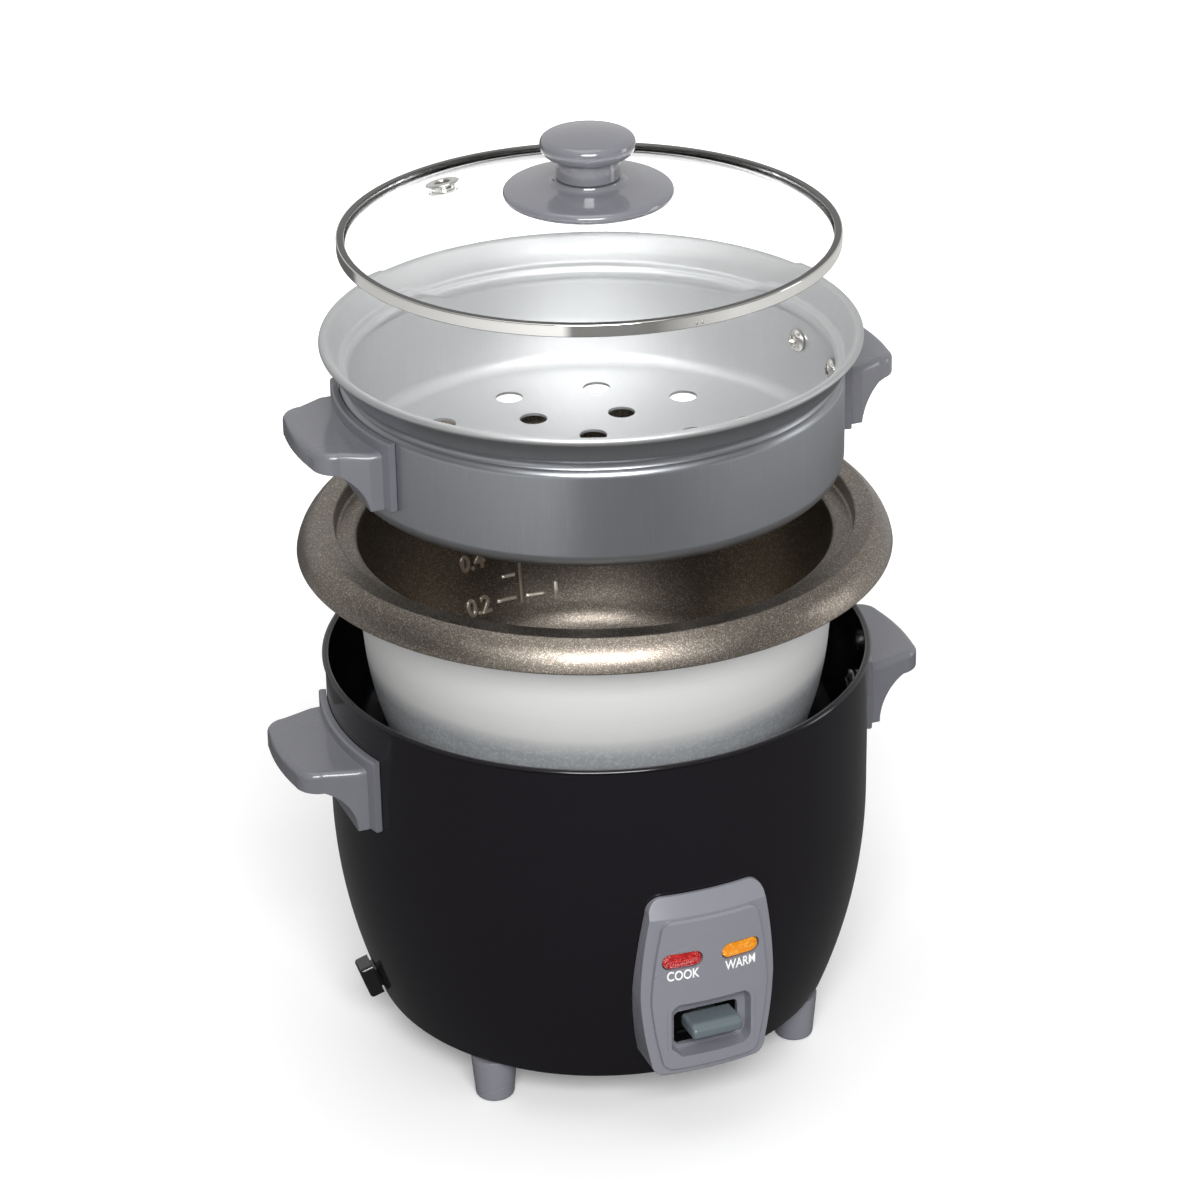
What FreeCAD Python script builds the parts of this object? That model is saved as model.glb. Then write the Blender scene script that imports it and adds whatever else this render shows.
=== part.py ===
import FreeCAD, Part
import math
import os

import Sketcher
from FreeCAD import Placement, Rotation, Vector

# Rice cooker with a steamer basket and a glass lid, drawn in its lifted-apart
# arrangement. Millimetres, +Z up, front of the cooker towards -Y, floor at Z = 0.

doc = FreeCAD.newDocument("rice_cooker")
sheet = doc.addObject("Spreadsheet::Sheet", "Sizes")


class Dim:
    # a length that knows both its value and the sheet expression behind it
    def __init__(self, value, text):
        self.value = float(value)
        self.text = text

    def __add__(self, other):
        other = asDim(other)
        return Dim(self.value + other.value, f"({self.text} + {other.text})")

    def __sub__(self, other):
        other = asDim(other)
        return Dim(self.value - other.value, f"({self.text} - {other.text})")

    def __mul__(self, other):
        other = asDim(other)
        return Dim(self.value * other.value, f"({self.text} * {other.text})")

    def __truediv__(self, other):
        other = asDim(other)
        return Dim(self.value / other.value, f"({self.text} / {other.text})")

    def __neg__(self):
        return Dim(-self.value, f"(-1 * {self.text})")

    __radd__ = __add__

    def __rsub__(self, other):
        return asDim(other) - self

    __rmul__ = __mul__


def asDim(number):
    if isinstance(number, Dim):
        return number
    return Dim(number, repr(round(float(number), 5)))


sheetRow = [1]


def size(alias, value, note):
    row = sheetRow[0]
    sheetRow[0] += 1
    sheet.set(f"A{row}", str(value))
    sheet.setAlias(f"A{row}", alias)
    sheet.set(f"B{row}", note)
    return Dim(value, f"Sizes.{alias}")


# ---- main sizes -------------------------------------------------------------
shellLowZ = size("shell_low_z", 18.0, "underside of the body shell above the floor")
shellWallR = size("shell_wall_r", 100.2, "outside radius of the upright wall")
shellBendZ = size("shell_bend_z", 95.0, "height where the bowl meets the upright wall")
shellBowlR = size("shell_bowl_r", 210.5, "radius of the bowl curve")
shellLowR = size("shell_low_r", 86.2, "outside radius at the bottom corner")
shellRimZ = size("shell_rim_z", 153.4, "height of the rolled rim")
sheetT = size("sheet_thick", 1.2, "wall thickness of the body shell")
plateTopZ = size("plate_top_z", 63.0, "top of the heating plate")
plateR = size("plate_r", 60.0, "radius of the heating plate")
seatGap = size("seat_gap", 0.3, "clearance of every seated part")
potLift = size("pot_lift", 49.5, "pot raised above its seat")
potHigh = size("pot_high", 93.7, "pot height")
potMouthR = size("pot_mouth_r", 86.6, "pot radius inside the ledge")
potStepR = size("pot_step_r", 94.3, "pot radius above the ledge")
potLedge = size("pot_ledge", 5.7, "depth of the ledge below the pot top")
potFlangeR = size("pot_flange_r", 108.4, "radius of the pot flange")
basketZ = size("basket_z", 225.8, "underside of the steamer basket")
basketR = size("basket_r", 90.3, "outside radius of the basket wall")
basketNeckR = size("basket_neck_r", 88.3, "outside radius of the basket neck")
basketBeadR = size("basket_bead_r", 96.8, "outside radius of the basket rim")
basketHigh = size("basket_high", 50.8, "height of the basket rim")
lidZ = size("lid_z", 311.3, "underside of the lid band")
lidR = size("lid_r", 88.7, "outside radius of the lid band")
lidDomeR = size("lid_dome_r", 265.6, "radius of the glass dome")
lidTop = size("lid_top", 16.8, "top of the glass above the band underside")
knobDiscR = size("knob_disc_r", 30.0, "radius of the knob base")
knobStemR = size("knob_stem_r", 11.3, "radius of the knob stem")
knobCapR = size("knob_cap_r", 16.7, "radius of the knob cap")
panelFaceR = size("panel_face_r", 107.2, "radius of the panel face")
panelLowZ = size("panel_low_z", 29.8, "underside of the control panel")
panelTopZ = size("panel_top_z", 102.2, "top of the control panel")
panelHalf = size("panel_half", 25.8, "half width of the panel at its widest")
lensZ = size("lens_z", 78.3, "height of the two lenses")
lensX = size("lens_x", 11.2, "sideways offset of the two lenses")
recessZ = size("recess_z", 49.0, "middle height of the switch recess")
leverPivotY = size("lever_pivot_y", 50.0, "distance of the lever pin in front of the axis")
leverPivotZ = size("lever_pivot_z", 32.6, "height of the lever pin")
leverPinR = size("lever_pin_r", 1.6, "radius of the lever pin")
footR = size("foot_ring_r", 78.0, "radius of the ring of feet")
footTurn = size("foot_turn", -3.2, "turn of the foot rectangle about the axis")
footHalf = size("foot_half_angle", 49.6, "half angle between the two front feet")
bodyHandleReach = size("handle_reach", 123.0, "reach of the body handles from the axis")
basketHandleReach = size("basket_handle_reach", 110.5, "reach of the basket handles")
holeR = size("hole_r", 5.1, "radius of a steam hole")

doc.recompute()

potZ = plateTopZ + seatGap + potLift


# ---- helpers ----------------------------------------------------------------
def bind(thing, prop, number):
    number = asDim(number)
    thing.setExpression(prop, number.text)


def place(thing, x=0, y=0, z=0, rotation=None):
    spin = rotation or Rotation()
    thing.Placement = Placement(Vector(asDim(x).value, asDim(y).value, asDim(z).value), spin)
    for axis, number in (("x", x), ("y", y), ("z", z)):
        if isinstance(number, Dim):
            bind(thing, f"Placement.Base.{axis}", number)
    return thing


def originPlane(body, role):
    for plane in body.Origin.OriginFeatures:
        if plane.Role == role:
            return plane


def arcMiddle(start, end, radius, side):
    # centre of a minor arc from start to end, on the left (+1) or right (-1)
    dx, dy = end[0] - start[0], end[1] - start[1]
    chord = math.hypot(dx, dy)
    rise = math.sqrt(max(radius * radius - chord * chord / 4, 0.0))
    midX, midY = (start[0] + end[0]) / 2, (start[1] + end[1]) / 2
    return midX - side * dy / chord * rise, midY + side * dx / chord * rise


def outline(sketch, loop):
    # loop: (x, y) for a straight step, (x, y, radius, side) when an arc leads there
    spots = [(asDim(p[0]), asDim(p[1])) for p in loop]
    count = len(loop)
    ends = []
    for i in range(count):
        a, b = spots[i], spots[(i + 1) % count]
        lead = loop[(i + 1) % count]
        start, end = (a[0].value, a[1].value), (b[0].value, b[1].value)
        if len(lead) == 2:
            index = sketch.addGeometry(Part.LineSegment(Vector(*start, 0), Vector(*end, 0)), False)
            ends.append((index, 1, 2, None))
            continue
        radius, side = asDim(lead[2]), lead[3]
        cx, cy = arcMiddle(start, end, radius.value, side)
        first, last = (start, end) if side > 0 else (end, start)
        angles = [math.atan2(q[1] - cy, q[0] - cx) for q in (first, last)]
        circle = Part.Circle(Vector(cx, cy, 0), Vector(0, 0, 1), radius.value)
        index = sketch.addGeometry(Part.ArcOfCircle(circle, angles[0], angles[1]), False)
        ends.append((index, 1 if side > 0 else 2, 2 if side > 0 else 1, radius))
    for i in range(count):
        index, startPos, _, radius = ends[i]
        prevIndex, _, prevEnd, _ = ends[i - 1]
        sketch.addConstraint(Sketcher.Constraint("Coincident", prevIndex, prevEnd, index, startPos))
        for kind, number, axis in (("DistanceX", spots[i][0], -2), ("DistanceY", spots[i][1], -1)):
            if abs(number.value) < 1e-9:
                sketch.addConstraint(Sketcher.Constraint("PointOnObject", index, startPos, axis))
                continue
            if number.value > 0:
                made = Sketcher.Constraint(kind, -1, 1, index, startPos, number.value)
            else:
                made = Sketcher.Constraint(kind, index, startPos, -1, 1, -number.value)
                number = -number
            place_ = sketch.addConstraint(made)
            if "Sizes." in number.text:
                sketch.setExpression(f"Constraints[{place_}]", number.text)
        if radius is not None:
            place_ = sketch.addConstraint(Sketcher.Constraint("Radius", index, radius.value))
            if "Sizes." in radius.text:
                sketch.setExpression(f"Constraints[{place_}]", radius.text)


def newSketch(body, role, loops, lift=0):
    sketch = body.newObject("Sketcher::SketchObject", "Sketch")
    sketch.AttachmentSupport = [(originPlane(body, role), "")]
    sketch.MapMode = "FlatFace"
    if isinstance(lift, Dim) or lift:
        sketch.AttachmentOffset = Placement(Vector(0, 0, asDim(lift).value), Rotation())
        if isinstance(lift, Dim):
            bind(sketch, "AttachmentOffset.Base.z", lift)
    for loop in loops:
        outline(sketch, loop)
    return sketch


def newBody(name):
    body = doc.addObject("PartDesign::Body", name)
    body.Label = name
    return body


def turn(body, loop, sweep=360, cutting=False):
    kind = "PartDesign::Groove" if cutting else "PartDesign::Revolution"
    sketch = newSketch(body, "XZ_Plane", [loop])
    feature = body.newObject(kind, "Turn")
    feature.Profile = sketch
    feature.ReferenceAxis = (sketch, ["V_Axis"])
    feature.Angle = asDim(sweep).value
    if isinstance(sweep, Dim):
        bind(feature, "Angle", sweep)
    if asDim(sweep).value < 360:
        feature.Midplane = True
    sketch.Visibility = False
    return feature


def turned(name, loop, z=0):
    body = newBody(name)
    turn(body, loop)
    if isinstance(z, Dim) or z:
        place(body, 0, 0, z)
    return body


def pushed(body, role, loops, length, lift=0, cutting=False, both=False, back=False):
    sketch = newSketch(body, role, loops, lift)
    feature = body.newObject("PartDesign::Pocket" if cutting else "PartDesign::Pad", "Push")
    feature.Profile = sketch
    feature.Length = asDim(length).value
    if isinstance(length, Dim):
        bind(feature, "Length", length)
    feature.Midplane = both
    feature.Reversed = back
    sketch.Visibility = False
    return feature


def soften(body, radius, chosen):
    doc.recompute()
    last = body.Tip
    names = [f"Edge{i + 1}" for i, edge in enumerate(last.Shape.Edges) if chosen(edge)]
    feature = body.newObject("PartDesign::Fillet", "Soft")
    feature.Base = (last, names)
    feature.Radius = radius
    doc.recompute()
    return feature


def cylinder(name, radius, length, x, y, z, along=Vector(0, 0, 1)):
    rod = doc.addObject("Part::Cylinder", name)
    bind(rod, "Radius", radius)
    bind(rod, "Height", length)
    return place(rod, x, y, z, Rotation(Vector(0, 0, 1), along))


def block(name, dx, dy, dz, x, y, z, rotation=None):
    # x, y, z is the corner of the unturned block
    box = doc.addObject("Part::Box", name)
    for prop, number in (("Length", dx), ("Width", dy), ("Height", dz)):
        bind(box, prop, number)
    return place(box, x, y, z, rotation)


def joined(name, pieces):
    whole = doc.addObject("Part::MultiFuse", name)
    whole.Shapes = pieces
    whole.Refine = True
    whole.Label = name
    return whole


def grouped(name, pieces):
    whole = doc.addObject("Part::Compound", name)
    whole.Links = pieces
    whole.Label = name
    return whole


def cut(name, base, tools):
    tool = tools[0] if len(tools) == 1 else grouped(name + "Tools", tools)
    whole = doc.addObject("Part::Cut", name)
    whole.Base = base
    whole.Tool = tool
    whole.Refine = True
    whole.Label = name
    return whole


def common(name, first, second):
    whole = doc.addObject("Part::Common", name)
    whole.Base = first
    whole.Tool = second
    whole.Label = name
    return whole


def around(radius, degrees):
    # position on a circle, degrees counted from +X towards +Y
    radius = asDim(radius)
    turnBy = math.radians(degrees)
    return radius * round(math.cos(turnBy), 6), radius * round(math.sin(turnBy), 6)


def screw(name, shankR, length, headR, headHigh, x, y, z, along):
    # domed cross-head screw; origin under the head, shank runs along the given direction
    body = newBody(name + "Blank")
    turn(body, [(0, -headHigh), (headR * 0.55, -headHigh * 0.9), (headR, -headHigh * 0.25, headR * 0.95, 1),
                (headR, 0), (shankR, 0), (shankR, length - 1), (shankR * 0.5, length), (0, length)])
    place(body, x, y, z, Rotation(Vector(0, 0, 1), along))
    slot = headR * 0.26
    reach = headR * 1.15
    cross = []
    for i, (wide, deep) in enumerate(((reach, slot), (slot, reach))):
        tool = doc.addObject("Part::Box", f"{name}Cross{i}")
        tool.Length, tool.Width, tool.Height = wide, deep, headHigh * 0.75
        inner = Placement(Vector(-wide / 2, -deep / 2, -headHigh * 1.15), Rotation())
        tool.Placement = body.Placement.multiply(inner)
        cross.append(tool)
    return cut(name, body, cross)


nodes = []


def keep(thing):
    nodes.append(thing)
    return thing


# ---- body shell -------------------------------------------------------------
innerWallR = shellWallR - sheetT
shellBody = turned("shellBlank", [
    (76.0, shellLowZ), (shellLowR - 2.0, shellLowZ), (shellLowR, shellLowZ + 1.8, 2.4, 1),
    (shellWallR, shellBendZ, shellBowlR, 1), (shellWallR, shellRimZ - 1.0), (shellWallR + 1.0, shellRimZ),
    (innerWallR - 0.4, shellRimZ, 1.35, 1), (innerWallR, shellRimZ - 1.0), (innerWallR, shellBendZ),
    (shellLowR - 1.4, shellLowZ + 2.6, shellBowlR - sheetT, -1),
    (shellLowR - 2.8, shellLowZ + sheetT, 1.6, -1), (76.0, shellLowZ + sheetT)])

handleScrewAngle = 9.5
handleScrewZ = 124.0
shellHoles = []
for side in (0, 180):
    for turnBy in (-handleScrewAngle, handleScrewAngle):
        hx, hy = around(90.0, side + turnBy)
        outward = Vector(*[n.value for n in around(1.0, side + turnBy)], 0)
        shellHoles.append(cylinder("handleHole", 2.3, 16.0, hx, hy, handleScrewZ, outward))
shellHoles.append(block("leverWindow", 25.0, 24.0, 17.0, -12.5, -104.0, 38.4))
shellHoles.append(block("lampWindow", 38.0, 24.0, 12.0, -19.0, -104.0, lensZ - 6.0))
glandOut = Vector(-math.cos(math.radians(19)), 0.07, -math.sin(math.radians(19)))
glandSpin = Rotation(Vector(0, 0, 1), glandOut)
glandHole = block("glandHole", 8.4, 8.4, 22.0, 0, 0, 0)
glandHole.Placement = Placement(Vector(-89.2, 6.0, 28.0), glandSpin).multiply(
    Placement(Vector(-4.2, -4.2, -12.0), Rotation()))
shellHoles.append(glandHole)
footAngles = [-90 + footTurn.value - footHalf.value, -90 + footTurn.value + footHalf.value,
              90 + footTurn.value - footHalf.value, 90 + footTurn.value + footHalf.value]
for angle in footAngles:
    fx, fy = around(footR, angle)
    shellHoles.append(cylinder("lipHole", 2.2, 6.0, fx, fy, shellLowZ - 2.0))
keep(cut("outer_shell", shellBody, shellHoles))

# ---- base cover, feet and their screws --------------------------------------
coverDisc = turned("coverBlank", [
    (0, 22.4), (68.5, 22.4), (70.5, 20.4, 2.6, -1), (72.5, 19.6, 2.4, 1), (82.0, 19.6), (82.0, 21.0),
    (73.5, 21.0), (71.1, 23.0, 2.6, -1), (69.5, 23.8, 2.2, 1), (0, 23.8)])
coverHoles = []
for i in range(16):
    vx, vy = around(38.0, i * 22.5 + 11.25)
    spin = Rotation(Vector(0, 0, 1), i * 22.5 + 11.25)
    vent = block("ventSlot", 18.0, 3.0, 6.0, 0, 0, 0)
    vent.Placement = Placement(Vector(vx.value, vy.value, 20.0), spin).multiply(
        Placement(Vector(-9.0, -1.5, 0), Rotation()))
    coverHoles.append(vent)
for angle in footAngles:
    fx, fy = around(footR, angle)
    coverHoles.append(cylinder("coverHole", 1.75, 6.0, fx, fy, 18.0))
keep(cut("base_cover", coverDisc, coverHoles))

footPieces, footScrews = [], []
for i, angle in enumerate(footAngles):
    fx, fy = around(footR, angle)
    foot = newBody(f"footBlank{i}")
    turn(foot, [(2.0, 9.0), (4.1, 9.0), (4.1, 0), (6.0, 0), (7.2, 1.3, 1.3, 1), (8.6, 17.7), (2.0, 17.7)])
    place(foot, fx, fy, 0)
    footPieces.append(foot)
    footScrews.append(screw(f"footScrew{i}", 1.7, 16.5, 3.4, 2.2, fx, fy, 8.9, Vector(0, 0, 1)))
keep(grouped("feet", footPieces))
keep(grouped("foot_screws", footScrews))

# ---- heating plate and its supports -----------------------------------------
trayBlank = turned("trayBlank", [
    (64.0, 50.2), (80.0, 50.2), (86.5, 52.6, 10.0, 1), (93.6, 56.6), (93.6, 57.6), (92.8, 57.6),
    (86.0, 53.5), (80.0, 51.1, 9.1, -1), (64.9, 51.1), (64.9, 54.0), (64.0, 54.0)])
keep(cut("inner_tray", trayBlank, [cylinder("wirePass", 3.4, 12.0, 24.0, -78.0, 47.0)]))

plateBody = turned("plateBlank", [
    (16.8, plateTopZ - 8.0), (34.5, plateTopZ - 8.0), (36.0, plateTopZ - 11.0), (39.0, plateTopZ - 12.6, 3.2, 1),
    (43.0, plateTopZ - 12.6), (46.0, plateTopZ - 11.0, 3.2, 1), (47.5, plateTopZ - 8.0),
    (plateR - 2.0, plateTopZ - 8.0), (plateR, plateTopZ - 6.0, 2.2, 1), (plateR, plateTopZ - 1.5),
    (plateR - 1.5, plateTopZ, 1.5, 1), (18.0, plateTopZ), (16.8, plateTopZ - 1.2)])
postAngles = (90, 210, 330)
plateHoles = []
for angle in postAngles:
    px, py = around(53.0, angle)
    plateHoles.append(cylinder("plateThread", 1.9, 5.0, px, py, plateTopZ - 9.0))
keep(cut("heating_plate", plateBody, plateHoles))

pins, posts = [], []
for angle in (150, 170):
    px, py = around(41.0, angle)
    pins.append(cylinder(f"pin{angle}", 1.6, 7.6, px, py, 42.6))
keep(grouped("element_pins", pins))
for angle in postAngles:
    px, py = around(53.0, angle)
    column = cylinder(f"postBar{angle}", 3.2, 30.6, px, py, 24.2)
    stud = cylinder(f"postStud{angle}", 1.8, 4.0, px, py, 54.4)
    posts.append(joined(f"post{angle}", [column, stud]))
keep(grouped("plate_posts", posts))

# ---- thermostat -------------------------------------------------------------
keep(turned("thermostat_cup", [
    (3.4, 44.0), (16.3, 44.0), (16.3, 61.4), (15.2, 61.4), (15.2, 45.2), (3.4, 45.2)]))
keep(turned("sensor_cap", [
    (14.0, 57.4), (14.8, 57.4), (14.8, 63.6), (13.6, plateTopZ + 1.7, 1.3, 1), (0, plateTopZ + 1.7),
    (0, 63.4), (13.0, 63.4), (14.0, 62.6)]))
springBody = newBody("sensor_spring")
springSketch = springBody.newObject("Sketcher::SketchObject", "Wire")
springSketch.AttachmentSupport = [(originPlane(springBody, "XZ_Plane"), "")]
springSketch.MapMode = "FlatFace"
springSketch.addGeometry(Part.Circle(Vector(12.4, 46.3, 0), Vector(0, 0, 1), 0.65), False)
springSketch.addConstraint(Sketcher.Constraint("Radius", 0, 0.65))
springSketch.addConstraint(Sketcher.Constraint("DistanceX", -1, 1, 0, 3, 12.4))
springSketch.addConstraint(Sketcher.Constraint("DistanceY", -1, 1, 0, 3, 46.3))
coil = springBody.newObject("PartDesign::AdditiveHelix", "Coil")
coil.Profile = springSketch
coil.ReferenceAxis = (springSketch, ["V_Axis"])
coil.Mode = 0
coil.Pitch = 4.0
coil.Height = 16.0
coil.Turns = 4.0
coil.Angle = 0
coil.LeftHanded = False
coil.Reversed = False
keep(springBody)
keep(turned("magnet_rod", [
    (0, 37.4), (2.6, 37.4), (2.6, 49.6), (9.6, 49.6), (10.4, 50.4), (10.4, 53.2), (9.6, 54.0), (0, 54.0)]))

# ---- cook lever -------------------------------------------------------------
barLoop = [
    (-101.6, 48.6), (-88.5, 48.6), (-84.0, 34.6), (2.0, 34.6), (2.0, 36.6), (-82.4, 36.6),
    (-86.9, 50.6), (-101.6, 50.6)]
barBody = newBody("leverBar")
pushed(barBody, "YZ_Plane", [barLoop], 10.0, both=True)
knuckle = cylinder("leverKnuckle", 3.1, 12.0, -6.0, -leverPivotY, leverPivotZ, Vector(1, 0, 0))
bore = cylinder("leverBore", leverPinR + 0.06, 16.0, -8.0, -leverPivotY, leverPivotZ, Vector(1, 0, 0))
keep(cut("lever_arm", joined("leverWhole", [barBody, knuckle]), [bore]))

paddleBody = newBody("paddleBlank")
pushed(paddleBody, "YZ_Plane", [[
    (-112.4, 48.9), (-111.0, 47.5, 1.5, 1), (-101.0, 47.0), (-101.0, 52.4), (-108.4, 52.9),
    (-111.2, 52.0, 3.4, 1), (-112.4, 50.6, 2.2, 1)]], 19.0, both=True)
soften(paddleBody, 1.3, lambda e: abs(abs(e.CenterOfMass.x) - 9.5) < 1e-3 and e.CenterOfMass.y < -101.5)
slotTool = block("paddleSlot", 10.2, 4.0, 2.2, -5.1, -103.0, 48.5)
keep(cut("lever_paddle", paddleBody, [slotTool]))

bracketPieces = [block("bracketFoot", 20.0, 14.0, 1.4, -10.0, -57.0, 24.1)]
for bx in (-8.6, 7.2):
    bracketPieces.append(block("bracketEar", 1.4, 9.0, 13.0, bx, -54.5, 24.1))
bracketBores = [cylinder("bracketBore", leverPinR + 0.03, 24.0, -12.0, -leverPivotY, leverPivotZ, Vector(1, 0, 0))]
keep(cut("lever_bracket", joined("bracketWhole", bracketPieces), bracketBores))
pinPieces = [cylinder("pinBar", leverPinR, 18.6, -9.3, -leverPivotY, leverPivotZ, Vector(1, 0, 0)),
             cylinder("pinHead", 2.6, 1.2, -10.4, -leverPivotY, leverPivotZ, Vector(1, 0, 0))]
keep(joined("lever_pin", pinPieces))

# ---- electrics --------------------------------------------------------------
switchPieces = [block("switchCase", 6.4, 20.0, 10.5, 12.0, -80.0, 24.2),
                block("switchTab", 0.8, 4.0, 5.0, 14.8, -68.0, 34.6),
                block("switchTab", 0.8, 4.0, 5.0, 14.8, -78.0, 34.6)]
keep(joined("microswitch", switchPieces))
fusePieces = [cylinder("fuseBarrel", 2.3, 14.0, -7.0, 27.0, 50.8, Vector(1, 0, 0)),
              block("fuseClip", 6.0, 5.6, 1.0, -3.0, 24.2, 53.0),
              cylinder("fuseLead", 0.6, 26.0, -13.0, 27.0, 50.8, Vector(1, 0, 0))]
keep(joined("thermal_fuse", fusePieces))
terminalPieces = [block("terminalCase", 12.0, 26.0, 11.0, -66.0, 4.0, 24.2)]
for ty in (7.5, 15.0, 22.5):
    terminalPieces.append(cylinder("terminalScrew", 2.2, 1.4, -60.0, ty + 2.0, 35.0))
keep(joined("terminal_block", terminalPieces))
resistorPieces = [cylinder("resistorBar", 4.2, 34.0, 22.0, 44.0, 31.0, Vector(1, 0, 0)),
                  block("resistorFoot", 4.0, 8.0, 7.4, 24.0, 40.0, 24.2),
                  block("resistorFoot", 4.0, 8.0, 7.4, 50.0, 40.0, 24.2)]
keep(joined("warm_resistor", resistorPieces))
for label, sx in (("cook_lamp", -1), ("warm_lamp", 1)):
    bulb = cylinder(label + "Tube", 2.0, 7.0, lensX * sx - 3.5, -99.3, lensZ, Vector(1, 0, 0))
    tip = doc.addObject("Part::Sphere", label + "Tip")
    bind(tip, "Radius", 2.0)
    place(tip, lensX * sx - 3.5 * sx, -99.3, lensZ)
    keep(joined(label, [bulb, tip]))
boardPieces = [block("boardPlate", 36.0, 1.2, 10.6, -18.0, -97.0, lensZ - 5.3)]
for bx in (-17.6, 15.4):
    boardPieces.append(block("boardPeg", 2.2, 3.6, 3.0, bx, -100.4, lensZ - 1.5))
keep(joined("lamp_board", boardPieces))

glandBody = newBody("glandBlank")
pushed(glandBody, "XY_Plane", [[(-6.5, -5.4), (6.5, -5.4), (6.5, 5.4), (-6.5, 5.4)]], 5.4, lift=0.4)
pushed(glandBody, "XY_Plane", [[(-3.9, -3.9), (3.9, -3.9), (3.9, 3.9), (-3.9, 3.9)]], 9.0, lift=-8.0)
soften(glandBody, 1.4, lambda e: e.CenterOfMass.z > 0.6)
pushed(glandBody, "XY_Plane", [[(-3.4, -2.6), (3.4, -2.6), (3.4, 2.6), (-3.4, 2.6)]], 3.2, lift=5.9, cutting=True)
glandBody.Placement = Placement(Vector(-89.2, 6.0, 28.0), glandSpin)
glandBore = doc.addObject("Part::Cylinder", "glandBore")
glandBore.Radius, glandBore.Height = 2.1, 20.0
glandBore.Placement = glandBody.Placement.multiply(Placement(Vector(0, 0, -10.0), Rotation()))
keep(cut("cord_gland", glandBody, [glandBore]))


def wire(name, radius, spots):
    path = doc.addObject("Part::Feature", name + "Path")
    curve = Part.BSplineCurve()
    curve.interpolate([Vector(*p) for p in spots])
    path.Shape = Part.Wire([curve.toShape()])
    ring = doc.addObject("Part::Circle", name + "Ring")
    ring.Radius = radius
    start, towards = Vector(*spots[0]), curve.tangent(curve.FirstParameter)[0]
    ring.Placement = Placement(start, Rotation(Vector(0, 0, 1), towards))
    sweep = doc.addObject("Part::Sweep", name)
    sweep.Sections = [ring]
    sweep.Spine = (path, ["Edge1"])
    sweep.Solid = True
    sweep.Frenet = False
    return sweep


wires = [
    wire("wireMainsA", 1.0, [(-78.0, 7.2, 31.5), (-74.0, 8.0, 34.5), (-70.5, 9.0, 38.0), (-62.5, 9.5, 38.6)]),
    wire("wireElementA", 1.0, [(-57.8, 24.6, 38.4), (-50.0, 27.0, 40.6), (-42.0, 25.5, 41.2), (-36.6, 22.0, 40.8)]),
    wire("wireSwitchA", 1.0, [(-57.0, 17.0, 38.4), (-45.0, 2.0, 40.6), (-30.0, -22.0, 44.0), (-22.0, -50.0, 44.5),
                              (-12.0, -60.0, 44.5), (6.0, -63.0, 43.0), (15.2, -66.0, 41.4)]),
    wire("wireLamp", 0.8, [(15.2, -76.0, 41.2), (20.0, -77.5, 45.0), (24.0, -78.0, 53.0), (22.0, -84.0, 66.0),
                           (14.0, -94.6, 76.0)]),
]
keep(grouped("wiring", wires))

# ---- control panel ----------------------------------------------------------
frameR = panelFaceR - 1.7


def barrel(half, low, top, corner):
    # barrel-sided outline, widest a little below the middle
    neck = half - 3.6
    low, top = asDim(low), asDim(top)
    midZ = low + (top - low) * 0.47
    return [(neck - corner, low), (neck, low + corner, corner, 1), (half, midZ, 150.0, 1),
            (neck, top - corner, 190.0, 1), (neck - corner, top, corner, 1), (-(neck - corner), top),
            (-neck, top - corner, corner, 1), (-half, midZ, 190.0, 1), (-neck, low + corner, 150.0, 1),
            (-(neck - corner), low, corner, 1)]


def slab(name, loop):
    body = newBody(name)
    pushed(body, "XZ_Plane", [loop], 70.0, lift=60.0)
    return body


def panelRing(name, faceR, top, bevel, low, gap):
    # ring whose inside follows the shell and whose outside is the panel face
    body = newBody(name)
    turn(body, [(91.2 + gap, low), (faceR - 1.0, low), (faceR, low + 1.0, 1.0, 1), (faceR, top - bevel),
                (shellWallR + gap + 1.2, top), (shellWallR + gap, top), (shellWallR + gap, shellBendZ),
                (shellWallR + gap - 8.2, 38.0, shellBowlR, -1)], 60)
    body.Placement = Placement(Vector(0, 0, 0), Rotation(Vector(0, 0, 1), -90))
    return body


frame = common("panelFrame", slab("frameSlab", barrel(panelHalf, panelLowZ, panelTopZ, 6.0)),
               panelRing("frameRing", frameR, panelTopZ, 7.0, panelLowZ, 0.3))
face = common("panelFace", slab("faceSlab", barrel(panelHalf - 3.4, panelLowZ + 3.4, panelTopZ - 7.6, 4.5)),
              panelRing("faceRing", panelFaceR, panelTopZ - 4.0, 4.4, panelLowZ + 2.0, 0.8))
hollow = common("panelHollow", slab("hollowSlab", barrel(panelHalf - 2.6, panelLowZ + 2.6, panelTopZ - 9.0, 4.0)),
                panelRing("hollowRing", frameR - 2.0, panelTopZ - 7.0, 4.0, panelLowZ + 1.0, -6.0))
shellPanel = cut("panelShell", joined("panelWhole", [frame, face]), [hollow])


def rounded(halfX, halfZ, corner, cz):
    return [(-(halfX - corner), cz - halfZ), (halfX - corner, cz - halfZ),
            (halfX, cz - halfZ + corner, corner, 1), (halfX, cz + halfZ - corner),
            (halfX - corner, cz + halfZ, corner, 1), (-(halfX - corner), cz + halfZ),
            (-halfX, cz + halfZ - corner, corner, 1), (-halfX, cz - halfZ + corner)]


def slotLoop(cx, cz, half, high):
    r = high / 2
    inner = half - r
    return [(cx - inner, cz - r), (cx + inner, cz - r), (cx + half, cz, r, 1), (cx + inner, cz + r, r, 1),
            (cx - inner, cz + r), (cx - half, cz, r, 1)]


def closedSlot(cx, cz, half, high):
    loop = slotLoop(cx, cz, half, high)
    first = loop[0]
    return [(first[0], first[1], high / 2, 1)] + loop[1:]


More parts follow.
